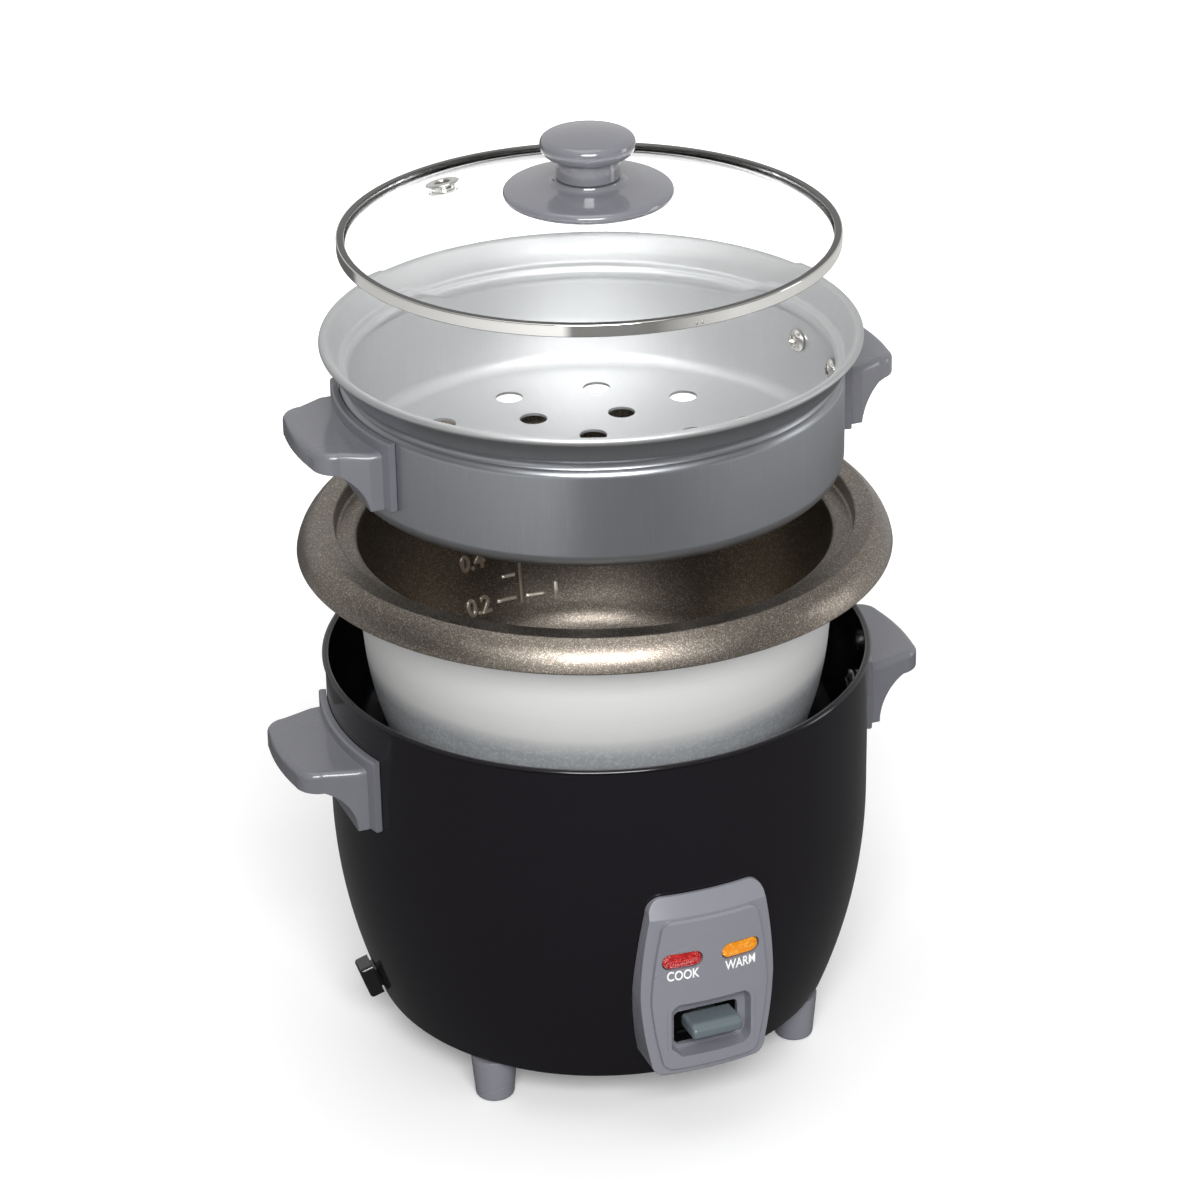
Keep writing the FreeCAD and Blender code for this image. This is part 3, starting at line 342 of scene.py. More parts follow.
# spun aluminium: fine slanted scratches over soft upright shading
def spun(name, settings):
    made, tree, shader = newMaterial(name)
    about = useGroup(tree, turning)
    spot = add(tree, "TexCoord").outputs["Object"]
    upright = useGroup(tree, hairlines, Vector=about["Around"], Scale=settings["upright"], Amount=settings["vary"])
    rings = useGroup(tree, hairlines, Vector=about["Rings"], Scale=1500.0, Amount=settings["ringVary"])
    slanted = add(tree, "Mapping", {"Vector": spot, "Rotation": (0.5, 0.9, 0.3), "Scale": (1.0, 1.0, 0.04)})
    scratch = noise(tree, slanted.outputs[0], 1500.0, 2.0, 0.6)
    marks = remap(tree, scratch, 0.62, 0.72, 0.0, settings["scratch"])
    shade = calc(tree, "MULTIPLY", upright["Shade"], rings["Shade"])
    base = blendColour(tree, shade, (0, 0, 0, 1), rgba(settings["colour"]))
    tree.links.new(blendColour(tree, marks, base, (0.95, 0.95, 0.95, 1)), shader.inputs["Base Color"])
    shader.inputs["Metallic"].default_value = settings["metallic"]
    gloss = useGroup(tree, smudges, Vector=spot, Scale=16.0, Amount=0.06)["Gloss"]
    tree.links.new(calc(tree, "ADD", gloss, settings["rough"]), shader.inputs["Roughness"])
    height = calc(tree, "ADD", calc(tree, "MULTIPLY", upright["Height"], 0.5),
                  calc(tree, "MULTIPLY", rings["Height"], 0.5))
    bump(tree, shader, height, settings["bump"], 0.00006)
    return made


def clearGlass(name, settings):
    made, tree, shader = newMaterial(name)
    spot = add(tree, "TexCoord").outputs["Object"]
    tone = useGroup(tree, mottle, Vector=spot, Broad=12.0, Fine=160.0, Amount=0.02)
    tree.links.new(blendColour(tree, tone["Shade"], (0, 0, 0, 1), rgba(settings["colour"])),
                   shader.inputs["Base Color"])
    gloss = useGroup(tree, smudges, Vector=spot, Scale=14.0, Amount=0.015)["Gloss"]
    tree.links.new(calc(tree, "ADD", gloss, settings["rough"]), shader.inputs["Roughness"])
    shader.inputs["Transmission Weight"].default_value = 1.0
    shader.inputs["IOR"].default_value = settings["ior"]
    bump(tree, shader, tone["Height"], 0.02, 0.00005)
    return made


def lensStuff(name, colour, bright):
    made, tree, shader = newMaterial(name)
    spot = add(tree, "TexCoord").outputs["Object"]
    tone = useGroup(tree, mottle, Vector=spot, Broad=220.0, Fine=1400.0, Amount=0.12)
    # random facet cells are painted paler, towards the bright colour: painted glints of facets catching the light
    cells = add(tree, "TexVoronoi", {"Vector": spot, "Scale": 900.0})
    tilt = add(tree, "SeparateColor", {0: cells.outputs["Color"]}).outputs[0]
    base = blendColour(tree, tone["Shade"], (0, 0, 0, 1), rgba(colour))
    tree.links.new(blendColour(tree, remap(tree, tilt, 0.5, 1.0, 0.0, 0.5), base, rgba(bright)),
                   shader.inputs["Base Color"])
    gloss = useGroup(tree, smudges, Vector=spot, Scale=60.0, Amount=0.08)["Gloss"]
    tree.links.new(calc(tree, "ADD", gloss, 0.12), shader.inputs["Roughness"])
    shader.inputs["Coat Weight"].default_value = 0.8
    shader.inputs["Coat Roughness"].default_value = 0.04
    bump(tree, shader, tone["Height"], 0.1, 0.00005)
    return made


enamelSet = {"colour": (0.0075, 0.0062, 0.0085), "rough": 0.14, "coat": 0.2, "specular": 0.4, "vary": 0.12}
coatingSet = {"colour": (0.20, 0.170, 0.140), "flakeColour": (0.86, 0.79, 0.71), "flake": 2700.0, "glint": 0.55,
              "metallic": 1.0, "rough": 0.3, "bump": 0.35, "vary": 0.08}
# the raised level marks in the pot get a colour much paler than the coating: painted highlight for the light caught
# on their edges
markPaintedHighlightSet = dict(coatingSet, colour=(0.80, 0.73, 0.64), glint=0.3, rough=0.3)
potBareSet = {"upper": (0.92, 0.92, 0.91), "lower": (0.54, 0.57, 0.60), "lowerFlake": (0.68, 0.70, 0.72),
              "split": 0.1545, "metallic": 0.4, "upperRough": 0.5, "lowerRough": 0.45, "vary": 0.05}
wallSet = {"colour": (0.40, 0.412, 0.435), "upright": 24.0, "vary": 0.08, "ringVary": 0.05, "scratch": 0.07,
           "metallic": 0.95, "rough": 0.34, "bump": 0.12}
insideSet = {"colour": (0.60, 0.605, 0.61), "upright": 26.0, "vary": 0.05, "ringVary": 0.05, "scratch": 0.03,
             "metallic": 0.9, "rough": 0.5, "bump": 0.08}
glassSet = {"colour": (0.985, 0.992, 0.99), "rough": 0.0, "ior": 1.2}

paint = {
    "shellEnamel": enamel("shellEnamel", enamelSet),
    "potCoating": sparkle("potCoating", coatingSet),
    "potMarksPaintedHighlight": sparkle("potMarksPaintedHighlight", markPaintedHighlightSet),
    "potBare": bareBands("potBare", potBareSet),
    "basketWall": spun("basketWall", wallSet),
    "basketInside": spun("basketInside", insideSet),
    "lidGlass": clearGlass("lidGlass", glassSet),
    "bandSteel": metal("bandSteel", (0.80, 0.79, 0.76), rough=0.07, vary=0.03, grain=0.02, edge=0.0),
    "bandLip": metal("bandLip", (0.16, 0.155, 0.15), rough=0.12, vary=0.03, grain=0.02, edge=0.0),
    "handleGrey": moulded("handleGrey", (0.158, 0.160, 0.180), rough=0.26, coat=0.5, edge=0.0006),
    "panelGrey": moulded("panelGrey", (0.235, 0.237, 0.268), rough=0.26, coat=0.5, edge=0.0005),
    "knobGrey": moulded("knobGrey", (0.195, 0.197, 0.220), rough=0.12, coat=0.8, coatRough=0.04, edge=0.0003),
    "leverGrey": moulded("leverGrey", (0.12, 0.15, 0.165), rough=0.28, coat=0.3, edge=0.0004),
    "glandBlack": moulded("glandBlack", (0.008, 0.008, 0.009), rough=0.22, coat=0.5, edge=0.0005),
    "blackPlastic": moulded("blackPlastic", (0.02, 0.02, 0.021), rough=0.6, coat=0.0),
    "coverSteel": moulded("coverSteel", (0.022, 0.022, 0.024), rough=0.4, coat=0.1, grain=0.15),
    "redLens": lensStuff("redLens", (0.42, 0.006, 0.008), (0.82, 0.05, 0.04)),
    "amberLens": lensStuff("amberLens", (0.80, 0.28, 0.004), (1.0, 0.64, 0.13)),
    "lampGlass": clearGlass("lampGlass", {"colour": (1.0, 0.86, 0.7), "rough": 0.05, "ior": 1.45}),
    "laminate": moulded("laminate", (0.36, 0.25, 0.11), rough=0.55, coat=0.0, vary=0.2, grain=0.3),
    "trayZinc": metal("trayZinc", (0.58, 0.59, 0.60), rough=0.34, vary=0.1, scale=700.0),
    "screwSteel": metal("screwSteel", (0.74, 0.72, 0.68), rough=0.2, vary=0.05, strokes="none", scale=2500.0,
                        edge=0.00025),
    "springSteel": metal("springSteel", (0.5, 0.5, 0.5), rough=0.3, vary=0.08, strokes="none", scale=2500.0),
    "castAluminium": metal("castAluminium", (0.66, 0.66, 0.67), rough=0.38, vary=0.12, scale=2600.0, grain=0.2),
    "ceramic": moulded("ceramic", (0.78, 0.76, 0.70), rough=0.35, coat=0.4, vary=0.05),
    "wireSleeve": moulded("wireSleeve", (0.70, 0.68, 0.62), rough=0.8, coat=0.0, vary=0.15, grain=0.6),
    "silicone": moulded("silicone", (0.7, 0.7, 0.69), rough=0.4, coat=0.0),
    "markWhite": moulded("markWhite", (0.95, 0.95, 0.95), rough=0.45, coat=0.0, vary=0.02, grain=0.03, edge=0.00005),
}
print("materials made:", len(paint))


def arcPoints(start, end, radius, side, step):
    # points of a minor arc after its start; side +1 has the centre on the left
    dx, dy = end[0] - start[0], end[1] - start[1]
    chord = math.hypot(dx, dy)
    rise = math.sqrt(max(radius * radius - chord * chord / 4, 0.0))
    cx = (start[0] + end[0]) / 2 - side * dy / chord * rise
    cy = (start[1] + end[1]) / 2 + side * dx / chord * rise
    first = math.atan2(start[1] - cy, start[0] - cx)
    sweep = math.atan2(end[1] - cy, end[0] - cx) - first
    if side > 0 and sweep < 0:
        sweep += 2 * math.pi
    if side < 0 and sweep > 0:
        sweep -= 2 * math.pi
    count = max(2, math.ceil(abs(sweep) / math.radians(9)), math.ceil(abs(sweep) * radius / step))
    return [(cx + radius * math.cos(first + sweep * i / count), cy + radius * math.sin(first + sweep * i / count))
            for i in range(1, count)] + [tuple(end)]


def followProfile(spots, step):
    # (r, z) for a straight step, (r, z, radius, side) where an arc leads there
    run = [(tuple(spots[0][:2]), 0)]
    for i in range(1, len(spots)):
        start, spot = run[-1][0], spots[i]
        if len(spot) == 4:
            run += [(p, i) for p in arcPoints(start, spot[:2], spot[2], spot[3], step)]
        else:
            run.append((tuple(spot), i))
    return run


def finishMesh(name, work, materials, sharp=33.0):
    bmesh.ops.remove_doubles(work, verts=work.verts, dist=1e-7)
    bmesh.ops.recalc_face_normals(work, faces=work.faces)
    data = bpy.data.meshes.new(name)
    work.to_mesh(data)
    work.free()
    for face in data.polygons:
        face.use_smooth = True
    data.set_sharp_from_angle(angle=math.radians(sharp))
    for material in materials:
        data.materials.append(material)
    piece = bpy.data.objects.new(name, data)
    scene.collection.objects.link(piece)
    return piece


def lathe(work, spots, low=0.0, segments=192, centre=(0.0, 0.0), step=2.2, zones=None):
    # turns a closed profile, millimetres, about an upright axis
    run = followProfile(spots, step)
    rings = []
    for (r, z), _ in run:
        if r < 1e-6:
            rings.append([work.verts.new((centre[0] * mm, centre[1] * mm, (z + low) * mm))])
            continue
        rings.append([work.verts.new(((centre[0] + r * math.cos(2 * math.pi * k / segments)) * mm,
                                      (centre[1] + r * math.sin(2 * math.pi * k / segments)) * mm,
                                      (z + low) * mm)) for k in range(segments)])
    for i in range(len(run)):
        j = (i + 1) % len(run)
        near, far, lead = rings[i], rings[j], run[j][1]
        if len(near) == 1 and len(far) == 1:
            continue
        for k in range(segments):
            m = (k + 1) % segments
            if len(near) == 1:
                corners = (near[0], far[k], far[m])
            elif len(far) == 1:
                corners = (near[k], near[m], far[0])
            else:
                corners = (near[k], near[m], far[m], far[k])
            face = work.faces.new(corners)
            face.material_index = (zones or {}).get(lead, 0)


def turnedPiece(name, spots, low, materials, **settings):
    work = bmesh.new()
    lathe(work, spots, low, **settings)
    return finishMesh(name, work, materials)


def weighted(piece):
    modifier = piece.modifiers.new("evenNormals", "WEIGHTED_NORMAL")
    modifier.keep_sharp = True
    modifier.weight = 80


def bakeModifiers(piece):
    graph = bpy.context.evaluated_depsgraph_get()
    data = bpy.data.meshes.new_from_object(piece.evaluated_get(graph))
    piece.modifiers.clear()
    old, piece.data = piece.data, data
    bpy.data.meshes.remove(old)


def carve(piece, cutter):
    # takes one closed shape out of a piece
    modifier = piece.modifiers.new("carve", "BOOLEAN")
    modifier.operation, modifier.solver, modifier.object = "DIFFERENCE", "EXACT", cutter
    bakeModifiers(piece)
    bpy.data.objects.remove(cutter)
    for face in piece.data.polygons:
        face.use_smooth = True
    piece.data.set_sharp_from_angle(angle=math.radians(33.0))


def rodShape(work, centre, along, radius, length, sides=40):
    # closed rod from its middle, in metres, as a cutter
    along = Vector(along).normalized()
    side = along.orthogonal().normalized()
    other = along.cross(side)
    ends = []
    for s in (-0.5, 0.5):
        middle = Vector(centre) + along * (length * s)
        turns = [2 * math.pi * k / sides for k in range(sides)]
        ends.append([work.verts.new(middle + (side * math.cos(a) + other * math.sin(a)) * radius) for a in turns])
    work.faces.new(ends[0])
    work.faces.new(ends[1])
    for k in range(sides):
        m = (k + 1) % sides
        work.faces.new((ends[0][k], ends[0][m], ends[1][m], ends[1][k]))


def boxShape(work, low, high):
    corners = [work.verts.new((x, y, z)) for x in (low[0], high[0]) for y in (low[1], high[1])
               for z in (low[2], high[2])]
    for face in ((0, 1, 3, 2), (4, 6, 7, 5), (0, 4, 5, 1), (2, 3, 7, 6), (0, 2, 6, 4), (1, 5, 7, 3)):
        work.faces.new([corners[i] for i in face])


def makeSmoother():
    # keeps a CAD part's creases and smooths its curved faces
    group = bpy.data.node_groups.new("creaseKeeper", "GeometryNodeTree")
    for way in ("INPUT", "OUTPUT"):
        group.interface.new_socket("Geometry", in_out=way, socket_type="NodeSocketGeometry")
    start, end = group.nodes.new("NodeGroupInput"), group.nodes.new("NodeGroupOutput")
    merge = group.nodes.new("GeometryNodeMergeByDistance")
    merge.inputs["Distance"].default_value = 1e-6
    strip = group.nodes.new("GeometryNodeRemoveAttribute")
    strip.inputs["Name"].default_value = "custom_normal"
    faces, edges = group.nodes.new("GeometryNodeSetShadeSmooth"), group.nodes.new("GeometryNodeSetShadeSmooth")
    faces.domain, edges.domain = "FACE", "EDGE"
    angle, compare = group.nodes.new("GeometryNodeInputMeshEdgeAngle"), group.nodes.new("FunctionNodeCompare")
    compare.data_type, compare.operation = "FLOAT", "LESS_THAN"
    compare.inputs[1].default_value = math.radians(26.0)
    link = group.links.new
    link(start.outputs[0], merge.inputs["Geometry"])
    link(merge.outputs[0], strip.inputs["Geometry"])
    link(strip.outputs[0], faces.inputs["Geometry"])
    link(faces.outputs[0], edges.inputs["Geometry"])
    link(angle.outputs[0], compare.inputs[0])
    link(compare.outputs[0], edges.inputs["Shade Smooth"])
    link(edges.outputs[0], end.inputs[0])
    return group


creaseKeeper = makeSmoother()


def dress(name, material):
    part = nodes[name]
    part.data.materials.clear()
    part.data.materials.append(paint[material])
    part.modifiers.new("creases", "NODES").node_group = creaseKeeper
    weighted(part)


def settle(piece, body, stands=()):
    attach(piece, body)
    if stands:
        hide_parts(*stands)


shellSet = {
    "profile": [(76.0, 18.0), (84.2, 18.0), (86.2, 19.8, 2.4, 1), (100.2, 95.0, 210.5, 1), (100.2, 152.4),
                (101.2, 153.4), (98.6, 153.4, 1.35, 1), (99.0, 152.4), (99.0, 95.0), (84.8, 20.6, 209.3, -1),
                (83.4, 19.2, 1.6, -1), (76.0, 19.2)],
    "windows": [((-12.5, -104.0, 38.4), (12.5, -80.0, 55.4)), ((-19.0, -104.0, 72.3), (19.0, -80.0, 84.3))],
    "glandHole": ((-89.2, 6.0, 28.0), 19.0, 5.9),
}


def makeShell(settings):
    shell = turnedPiece("bodyShell", settings["profile"], 0.0, [paint["shellEnamel"]], segments=256, step=3.0)
    work = bmesh.new()
    for low, high in settings["windows"]:
        boxShape(work, Vector(low) * mm, Vector(high) * mm)
    spot, lean, radius = settings["glandHole"]
    tilt = math.radians(lean)
    rodShape(work, Vector(spot) * mm, (-math.cos(tilt), 0.07, -math.sin(tilt)), radius * mm, 0.022)
    carve(shell, finishMesh("shellCutter", work, []))
    weighted(shell)
    settle(shell, "base", ["outer_shell"])


makeShell(shellSet)
print("body shell made")

potSet = {
    "low": 112.8,
    "bare": range(1, 14),
    "wall": range(22, 26),
    "profile": [
        (0, 2.0), (17.4, 2.0), (19.4, 0, 2.4, -1), (60.0, 0), (79.2, 16.8, 20.4, 1), (85.6, 48.5, 118.0, 1),
        (87.8, 83.5, 420.0, 1), (88.8, 86.5, 4.0, -1), (94.5, 86.5), (95.7, 87.7, 1.2, 1), (95.7, 92.1),
        (101.0, 92.1), (106.5, 83.5, 13.0, -1), (107.3, 82.8), (108.3, 83.4, 0.7, 1), (101.8, 93.4, 15.6, 1),
        (101.0, 93.7, 1.4, 1), (94.9, 93.7), (94.3, 92.9, 0.9, 1), (93.9, 89.0), (92.9, 88.0, 1.1, -1), (87.8, 88.0),
        (86.2, 86.2, 1.9, 1), (84.1, 48.5, 418.0, -1), (77.7, 17.4, 116.5, -1), (60.0, 1.5, 18.9, -1), (20.0, 1.5),
        (17.8, 3.5, 2.8, 1), (0, 3.5)],
    "levels": (22.5, 40.0, 57.5), "letters": 9.4, "raised": 0.5, "litreAt": -19.5, "cupAt": 15.0,
    "dashes": ((-6.4, 9.0, 0.0), (6.6, 9.0, 0.0), (-4.4, 6.0, 8.7)),
    "litres": ("0.2", "0.4", "0.6"),
    "cups": ("1", "2", "3"),
}


def bodyOfText(text, high, thick, bold=0.0, bevel=0.0):
    curve = bpy.data.curves.new("lettering", "FONT")
    curve.body, curve.size, curve.extrude, curve.offset = text, high, thick, bold
    curve.bevel_depth, curve.bevel_resolution = bevel, 1
    curve.align_x, curve.align_y, curve.resolution_u = "CENTER", "CENTER", 6
    holder = bpy.data.objects.new("lettering", curve)
    scene.collection.objects.link(holder)
    bpy.context.view_layer.update()
    data = bpy.data.meshes.new_from_object(holder.evaluated_get(bpy.context.evaluated_depsgraph_get()))
    bpy.data.objects.remove(holder)
    work = bmesh.new()
    work.from_mesh(data)
    bpy.data.meshes.remove(data)
    bmesh.ops.remove_doubles(work, verts=work.verts, dist=1e-4)
    return work


def potWallRadius(z):
    # inside radius of the pot wall at a height above the pot's underside
    wall = [spot for spot, lead in followProfile(potSet["profile"], 1.0) if lead in potSet["wall"]]
    for upper, lower in zip(wall, wall[1:]):
        if lower[1] <= z <= upper[1]:
            return lower[0] + (upper[0] - lower[0]) * (z - lower[1]) / (upper[1] - lower[1])
    return wall[-1][0]


def markOnPot(name, work, across, level):
    # wraps a flat mark, millimetres, onto the back of the pot's inner wall
    for vert in work.verts:
        x, y, lift = vert.co
        z = level + y
        radius = potWallRadius(z) - lift
        angle = math.radians(90.0) - (across + x) / 84.0
        vert.co = Vector((radius * math.cos(angle), radius * math.sin(angle), z + potSet["low"])) * mm
    # the marks' paler colour is painted highlight
    return finishMesh(name, work, [paint["potMarksPaintedHighlight"]], sharp=50.0)


def dash(length, high, thick):
    # low raised bar with sloping sides
    work = bmesh.new()
    ends = []
    for lift, inset in ((-0.25, 0.0), (thick * 0.55, 0.12), (thick, 0.35)):
        x, y = length / 2 - inset, high / 2 - inset
        steps = max(1, round(length / 1.5))
        top = [(-x + 2 * x * i / steps, y) for i in range(steps + 1)]
        ring = [work.verts.new((px, py, lift)) for px, py in top]
        ring += [work.verts.new((px, -py, lift)) for px, py in reversed(top)]
        ends.append(ring)
    count = len(ends[0])
    for a, b in zip(ends, ends[1:]):
        for k in range(count):
            m = (k + 1) % count
            work.faces.new((a[k], a[m], b[m], b[k]))
    for ring in (ends[0], ends[-1]):
        half = count // 2
        for k in range(half - 1):
            work.faces.new((ring[k], ring[k + 1], ring[count - 2 - k], ring[count - 1 - k]))
    return work


def makePot(settings):
    zones = {i: 1 for i in settings["bare"]}
    pot = turnedPiece("pot", settings["profile"], settings["low"], [paint["potCoating"], paint["potBare"]],
                      segments=256, zones=zones)
    weighted(pot)
    settle(pot, "pot", ["inner_pot"])
    marks = []
    for i, level in enumerate(settings["levels"]):
        for side, texts in (("litre", settings["litres"]), ("cup", settings["cups"])):
            digits = bodyOfText(texts[i], settings["letters"], settings["raised"], 0.12, 0.1)
            marks.append(markOnPot(f"{side}Mark{i}", digits, settings[side + "At"], level))
        for k, (across, length, rise) in enumerate(settings["dashes"]):
            marks.append(markOnPot(f"levelDash{i}{k}", dash(length, 1.6, 0.55), across, level + rise))
    marks.append(markOnPot("scaleLine", dash(1.5, 46.0, 0.5), 0.3, 43.0))
    for mark in marks:
        settle(mark, "pot")


makePot(potSet)
print("inner pot made")

basketSet = {
    "low": 225.8,
    "outside": range(1, 10),
    "profile": [
        (0, 0), (84.3, 0), (90.3, 6.0, 6.0, 1), (90.3, 34.4), (88.6, 37.4, 3.0, 1), (88.3, 39.2, 2.8, -1),
        (89.9, 40.9, 1.7, -1), (91.2, 42.2, 1.7, 1), (93.8, 49.6, 17.0, -1), (95.4, 49.35, 1.6, 1),
        (95.5, 52.25, 1.47, 1), (93.2, 50.6, 2.4, 1), (90.4, 43.0, 18.0, 1), (89.5, 42.0, 1.2, -1), (88.2, 41.8),
        (87.3, 40.8, 1.0, 1), (87.6, 37.1, 2.6, 1), (89.3, 34.2, 2.2, -1), (89.3, 6.0),
        (84.3, 1.0, 5.0, -1), (0, 1.0)],
    "holes": [(65.0, 12, 67.0), (43.0, 8, 54.0), (21.5, 4, 68.0)],
    "holeRadius": 5.1,
    "screws": (9.8, 252.5, 2.1),
}


def makeBasket(settings):
    zones = {i: 1 for i in settings["outside"]}
    basket = turnedPiece("basket", settings["profile"], settings["low"], [paint["basketInside"], paint["basketWall"]],
                         segments=256, zones=zones)
    work = bmesh.new()
    for ring, count, first in settings["holes"]:
        for i in range(count):
            turn = math.radians(first + 360.0 * i / count)
            rodShape(work, Vector((ring * math.cos(turn), ring * math.sin(turn), settings["low"])) * mm, (0, 0, 1),
                     settings["holeRadius"] * mm, 0.006, 48)
    spread, high, radius = settings["screws"]
    for side in (0, 180):
        for a in (-spread, spread):
            turn = math.radians(side + a)
            rodShape(work, Vector((89.0 * math.cos(turn), 89.0 * math.sin(turn), high)) * mm,
                     (math.cos(turn), math.sin(turn), 0), radius * mm, 0.008, 24)
    carve(basket, finishMesh("basketCutter", work, []))
    weighted(basket)
    settle(basket, "basket", ["steamer_basket"])


makeBasket(basketSet)
print("steamer basket made")

lidSet = {
    "low": 311.3,
    "glass": [(4.0, 14.4), (83.0, 1.35, 269.5, -1), (86.9, 1.35), (86.9, 3.35), (83.0, 3.35), (4.0, 16.8, 265.6, 1)],
    "vent": (60.0, 128.0, 4.5),
    "dark": range(5, 13),
    "band": [(85.6, 0), (88.3, 0), (88.7, 0.4, 0.4, 1), (88.7, 4.1), (88.3, 4.5, 0.4, 1), (86.4, 4.55),
             (85.9, 4.1, 0.5, 1), (86.3, 3.68, 0.5, 1), (87.2, 3.65), (87.9, 3.2, 0.6, -1), (87.9, 1.3),
             (87.4, 0.8, 0.5, -1), (85.6, 0.8)],
    "disc": [(3.0, 17.0), (28.4, 16.7), (30.0, 18.4, 1.7, 1), (28.6, 20.1, 1.9, 1), (14.4, 21.7, 120.0, 1),
             (12.0, 23.5, 2.6, -1), (3.0, 23.5)],
    "knob": [(1.9, 23.8), (10.9, 23.8), (11.3, 24.2, 0.5, 1), (11.3, 30.4), (12.4, 31.6, 1.3, -1), (13.8, 31.8),
             (16.7, 35.4, 4.0, 1), (15.0, 38.8, 3.0, 1), (0, 40.3, 75.75, 1), (0, 33.6), (1.9, 33.0)],
    "welds": [(-88.0, 1.4), (-86.6, 1.4)],
}


def makeLid(settings):
    low = settings["low"]
    glass = turnedPiece("lidGlass", settings["glass"], low, [paint["lidGlass"]], segments=200, step=4.0)
    ring, turn, radius = settings["vent"]
    x, y = ring * math.cos(math.radians(turn)), ring * math.sin(math.radians(turn))
    lean = Vector((x, y, math.sqrt(265.6 ** 2 - ring ** 2)))
    work = bmesh.new()
    rodShape(work, Vector((x, y, low + 16.8 - ring ** 2 / 531.2 - 1.2)) * mm, lean, radius * mm, 0.012)
    carve(glass, finishMesh("ventCutter", work, []))
    weighted(glass)
    glass.visible_shadow = False
    settle(glass, "lid", ["lid_glass"])
    zones = {i: 1 for i in settings["dark"]}
    band = turnedPiece("lidBand", settings["band"], low, [paint["bandSteel"], paint["bandLip"]], segments=256,
                       zones=zones)
    weighted(band)
    settle(band, "lid", ["lid_band"])
    disc = turnedPiece("knobDisc", settings["disc"], low, [paint["knobGrey"]], segments=128, step=1.5)
    weighted(disc)
    settle(disc, "lid", ["knob_base"])
    knob = turnedPiece("knobCap", settings["knob"], low, [paint["knobGrey"]], segments=128, step=1.2)
    weighted(knob)
    settle(knob, "lid", ["lid_knob"])
    for i, (turn, high) in enumerate(settings["welds"]):
        work = bmesh.new()
        for r, lift in ((0.55, 0.0), (0.42, 0.10), (0.2, 0.13)):
            for k in range(12):
                a = 2 * math.pi * k / 12
                work.verts.new((r * math.cos(a), r * math.sin(a), lift))
        work.verts.ensure_lookup_table()
        for ringNo in (0, 1):
            for k in range(12):
                m = (k + 1) % 12
                work.faces.new([work.verts[j] for j in (ringNo * 12 + k, ringNo * 12 + m, ringNo * 12 + 12 + m,
                                                        ringNo * 12 + 12 + k)])
        work.faces.new([work.verts[24 + k] for k in range(12)])
        work.faces.new([work.verts[k] for k in reversed(range(12))])
        for vert in work.verts:
            sx, sy, lift = vert.co
            angle = math.radians(turn) + sx / 88.7
            radius = 88.65 + lift
            vert.co = Vector((radius * math.cos(angle), radius * math.sin(angle), low + high + sy)) * mm
        weld = finishMesh(f"bandWeld{i}", work, [paint["bandSteel"]], sharp=60.0)
        settle(weld, "lid")


makeLid(lidSet)
print("lid made")

panelSet = {
    "lensX": 11.2, "lensZ": 78.3, "half": 7.3, "high": 6.1, "face": 106.5, "back": 103.2, "pitch": 0.82,
    "labelZ": 72.4, "labelHigh": 5.4, "labelRadius": 107.2, "labelNarrow": 0.74, "labelBold": 0.09,
}


def makeLens(name, side, material, settings):
    # pill with a ridged face of small pyramids, wrapped on the panel's curve
    half, high, pitch = settings["half"], settings["high"] / 2, settings["pitch"]
    columns, rows = 160, 68
    work = bmesh.new()
    front, back = [], []
    for i in range(columns + 1):
        x = -half + 2 * half * i / columns
        flat = half - high
        over = max(0.0, abs(x) - flat)
        reach = math.sqrt(max(high * high - over * over, 1e-4))
        frontColumn, backColumn = [], []
        for j in range(rows + 1):
            z = -reach + 2 * reach * j / rows
            a, b = (x + z) / pitch, (x - z) / pitch
            ridge = 0.5 * (abs((a % 1.0) - 0.5) + abs((b % 1.0) - 0.5)) * 2
            inside = min(1.0, (reach - abs(z)) / 0.5, (half - abs(x)) / 0.5)
            lift = (ridge * 0.42 - 0.21) * max(0.0, inside) - 0.35 * (1.0 - max(0.0, inside)) ** 2
            for radius, column in ((settings["face"] + lift, frontColumn), (settings["back"], backColumn)):
                angle = math.radians(-90.0) + (side * settings["lensX"] + x) / settings["face"]
                column.append(work.verts.new(Vector((radius * math.cos(angle), radius * math.sin(angle),
                                                     settings["lensZ"] + z)) * mm))
        front.append(frontColumn)
        back.append(backColumn)
    for i in range(columns):
        for j in range(rows):
            work.faces.new((front[i][j], front[i + 1][j], front[i + 1][j + 1], front[i][j + 1]))
            work.faces.new((back[i][j], back[i][j + 1], back[i + 1][j + 1], back[i + 1][j]))
        for j in (0, rows):
            work.faces.new((front[i][j], back[i][j], back[i + 1][j], front[i + 1][j]))
    for i in (0, columns):
        for j in range(rows):
            work.faces.new((front[i][j], front[i][j + 1], back[i][j + 1], back[i][j]))
    lens = finishMesh(name, work, [paint[material]], sharp=25.0)
    settle(lens, "base", ["cook_lens" if side < 0 else "warm_lens"])


def makeLabel(name, text, side, settings):
    work = bodyOfText(text, settings["labelHigh"], 0.06, settings["labelBold"])
    for vert in work.verts:
        x, y, lift = vert.co
        across = side * settings["lensX"] + x * settings["labelNarrow"]
        angle = math.radians(-90.0) + across / settings["labelRadius"]
        radius = settings["labelRadius"] + lift + 0.01
        vert.co = Vector((radius * math.cos(angle), radius * math.sin(angle), settings["labelZ"] + y)) * mm
    label = finishMesh(name, work, [paint["markWhite"]], sharp=30.0)
    settle(label, "base")


makeLens("redLens", -1, "redLens", panelSet)
makeLens("amberLens", 1, "amberLens", panelSet)
makeLabel("cookLabel", "COOK", -1, panelSet)
makeLabel("warmLabel", "WARM", 1, panelSet)
print("lamps and lettering made")

footSet = {"ring": 78.0, "turn": -3.2, "half": 49.6,
           "profile": [(2.0, 9.0), (4.1, 9.0), (4.1, 0), (6.0, 0), (7.2, 1.3, 1.3, 1), (8.6, 17.7), (2.0, 17.7)]}


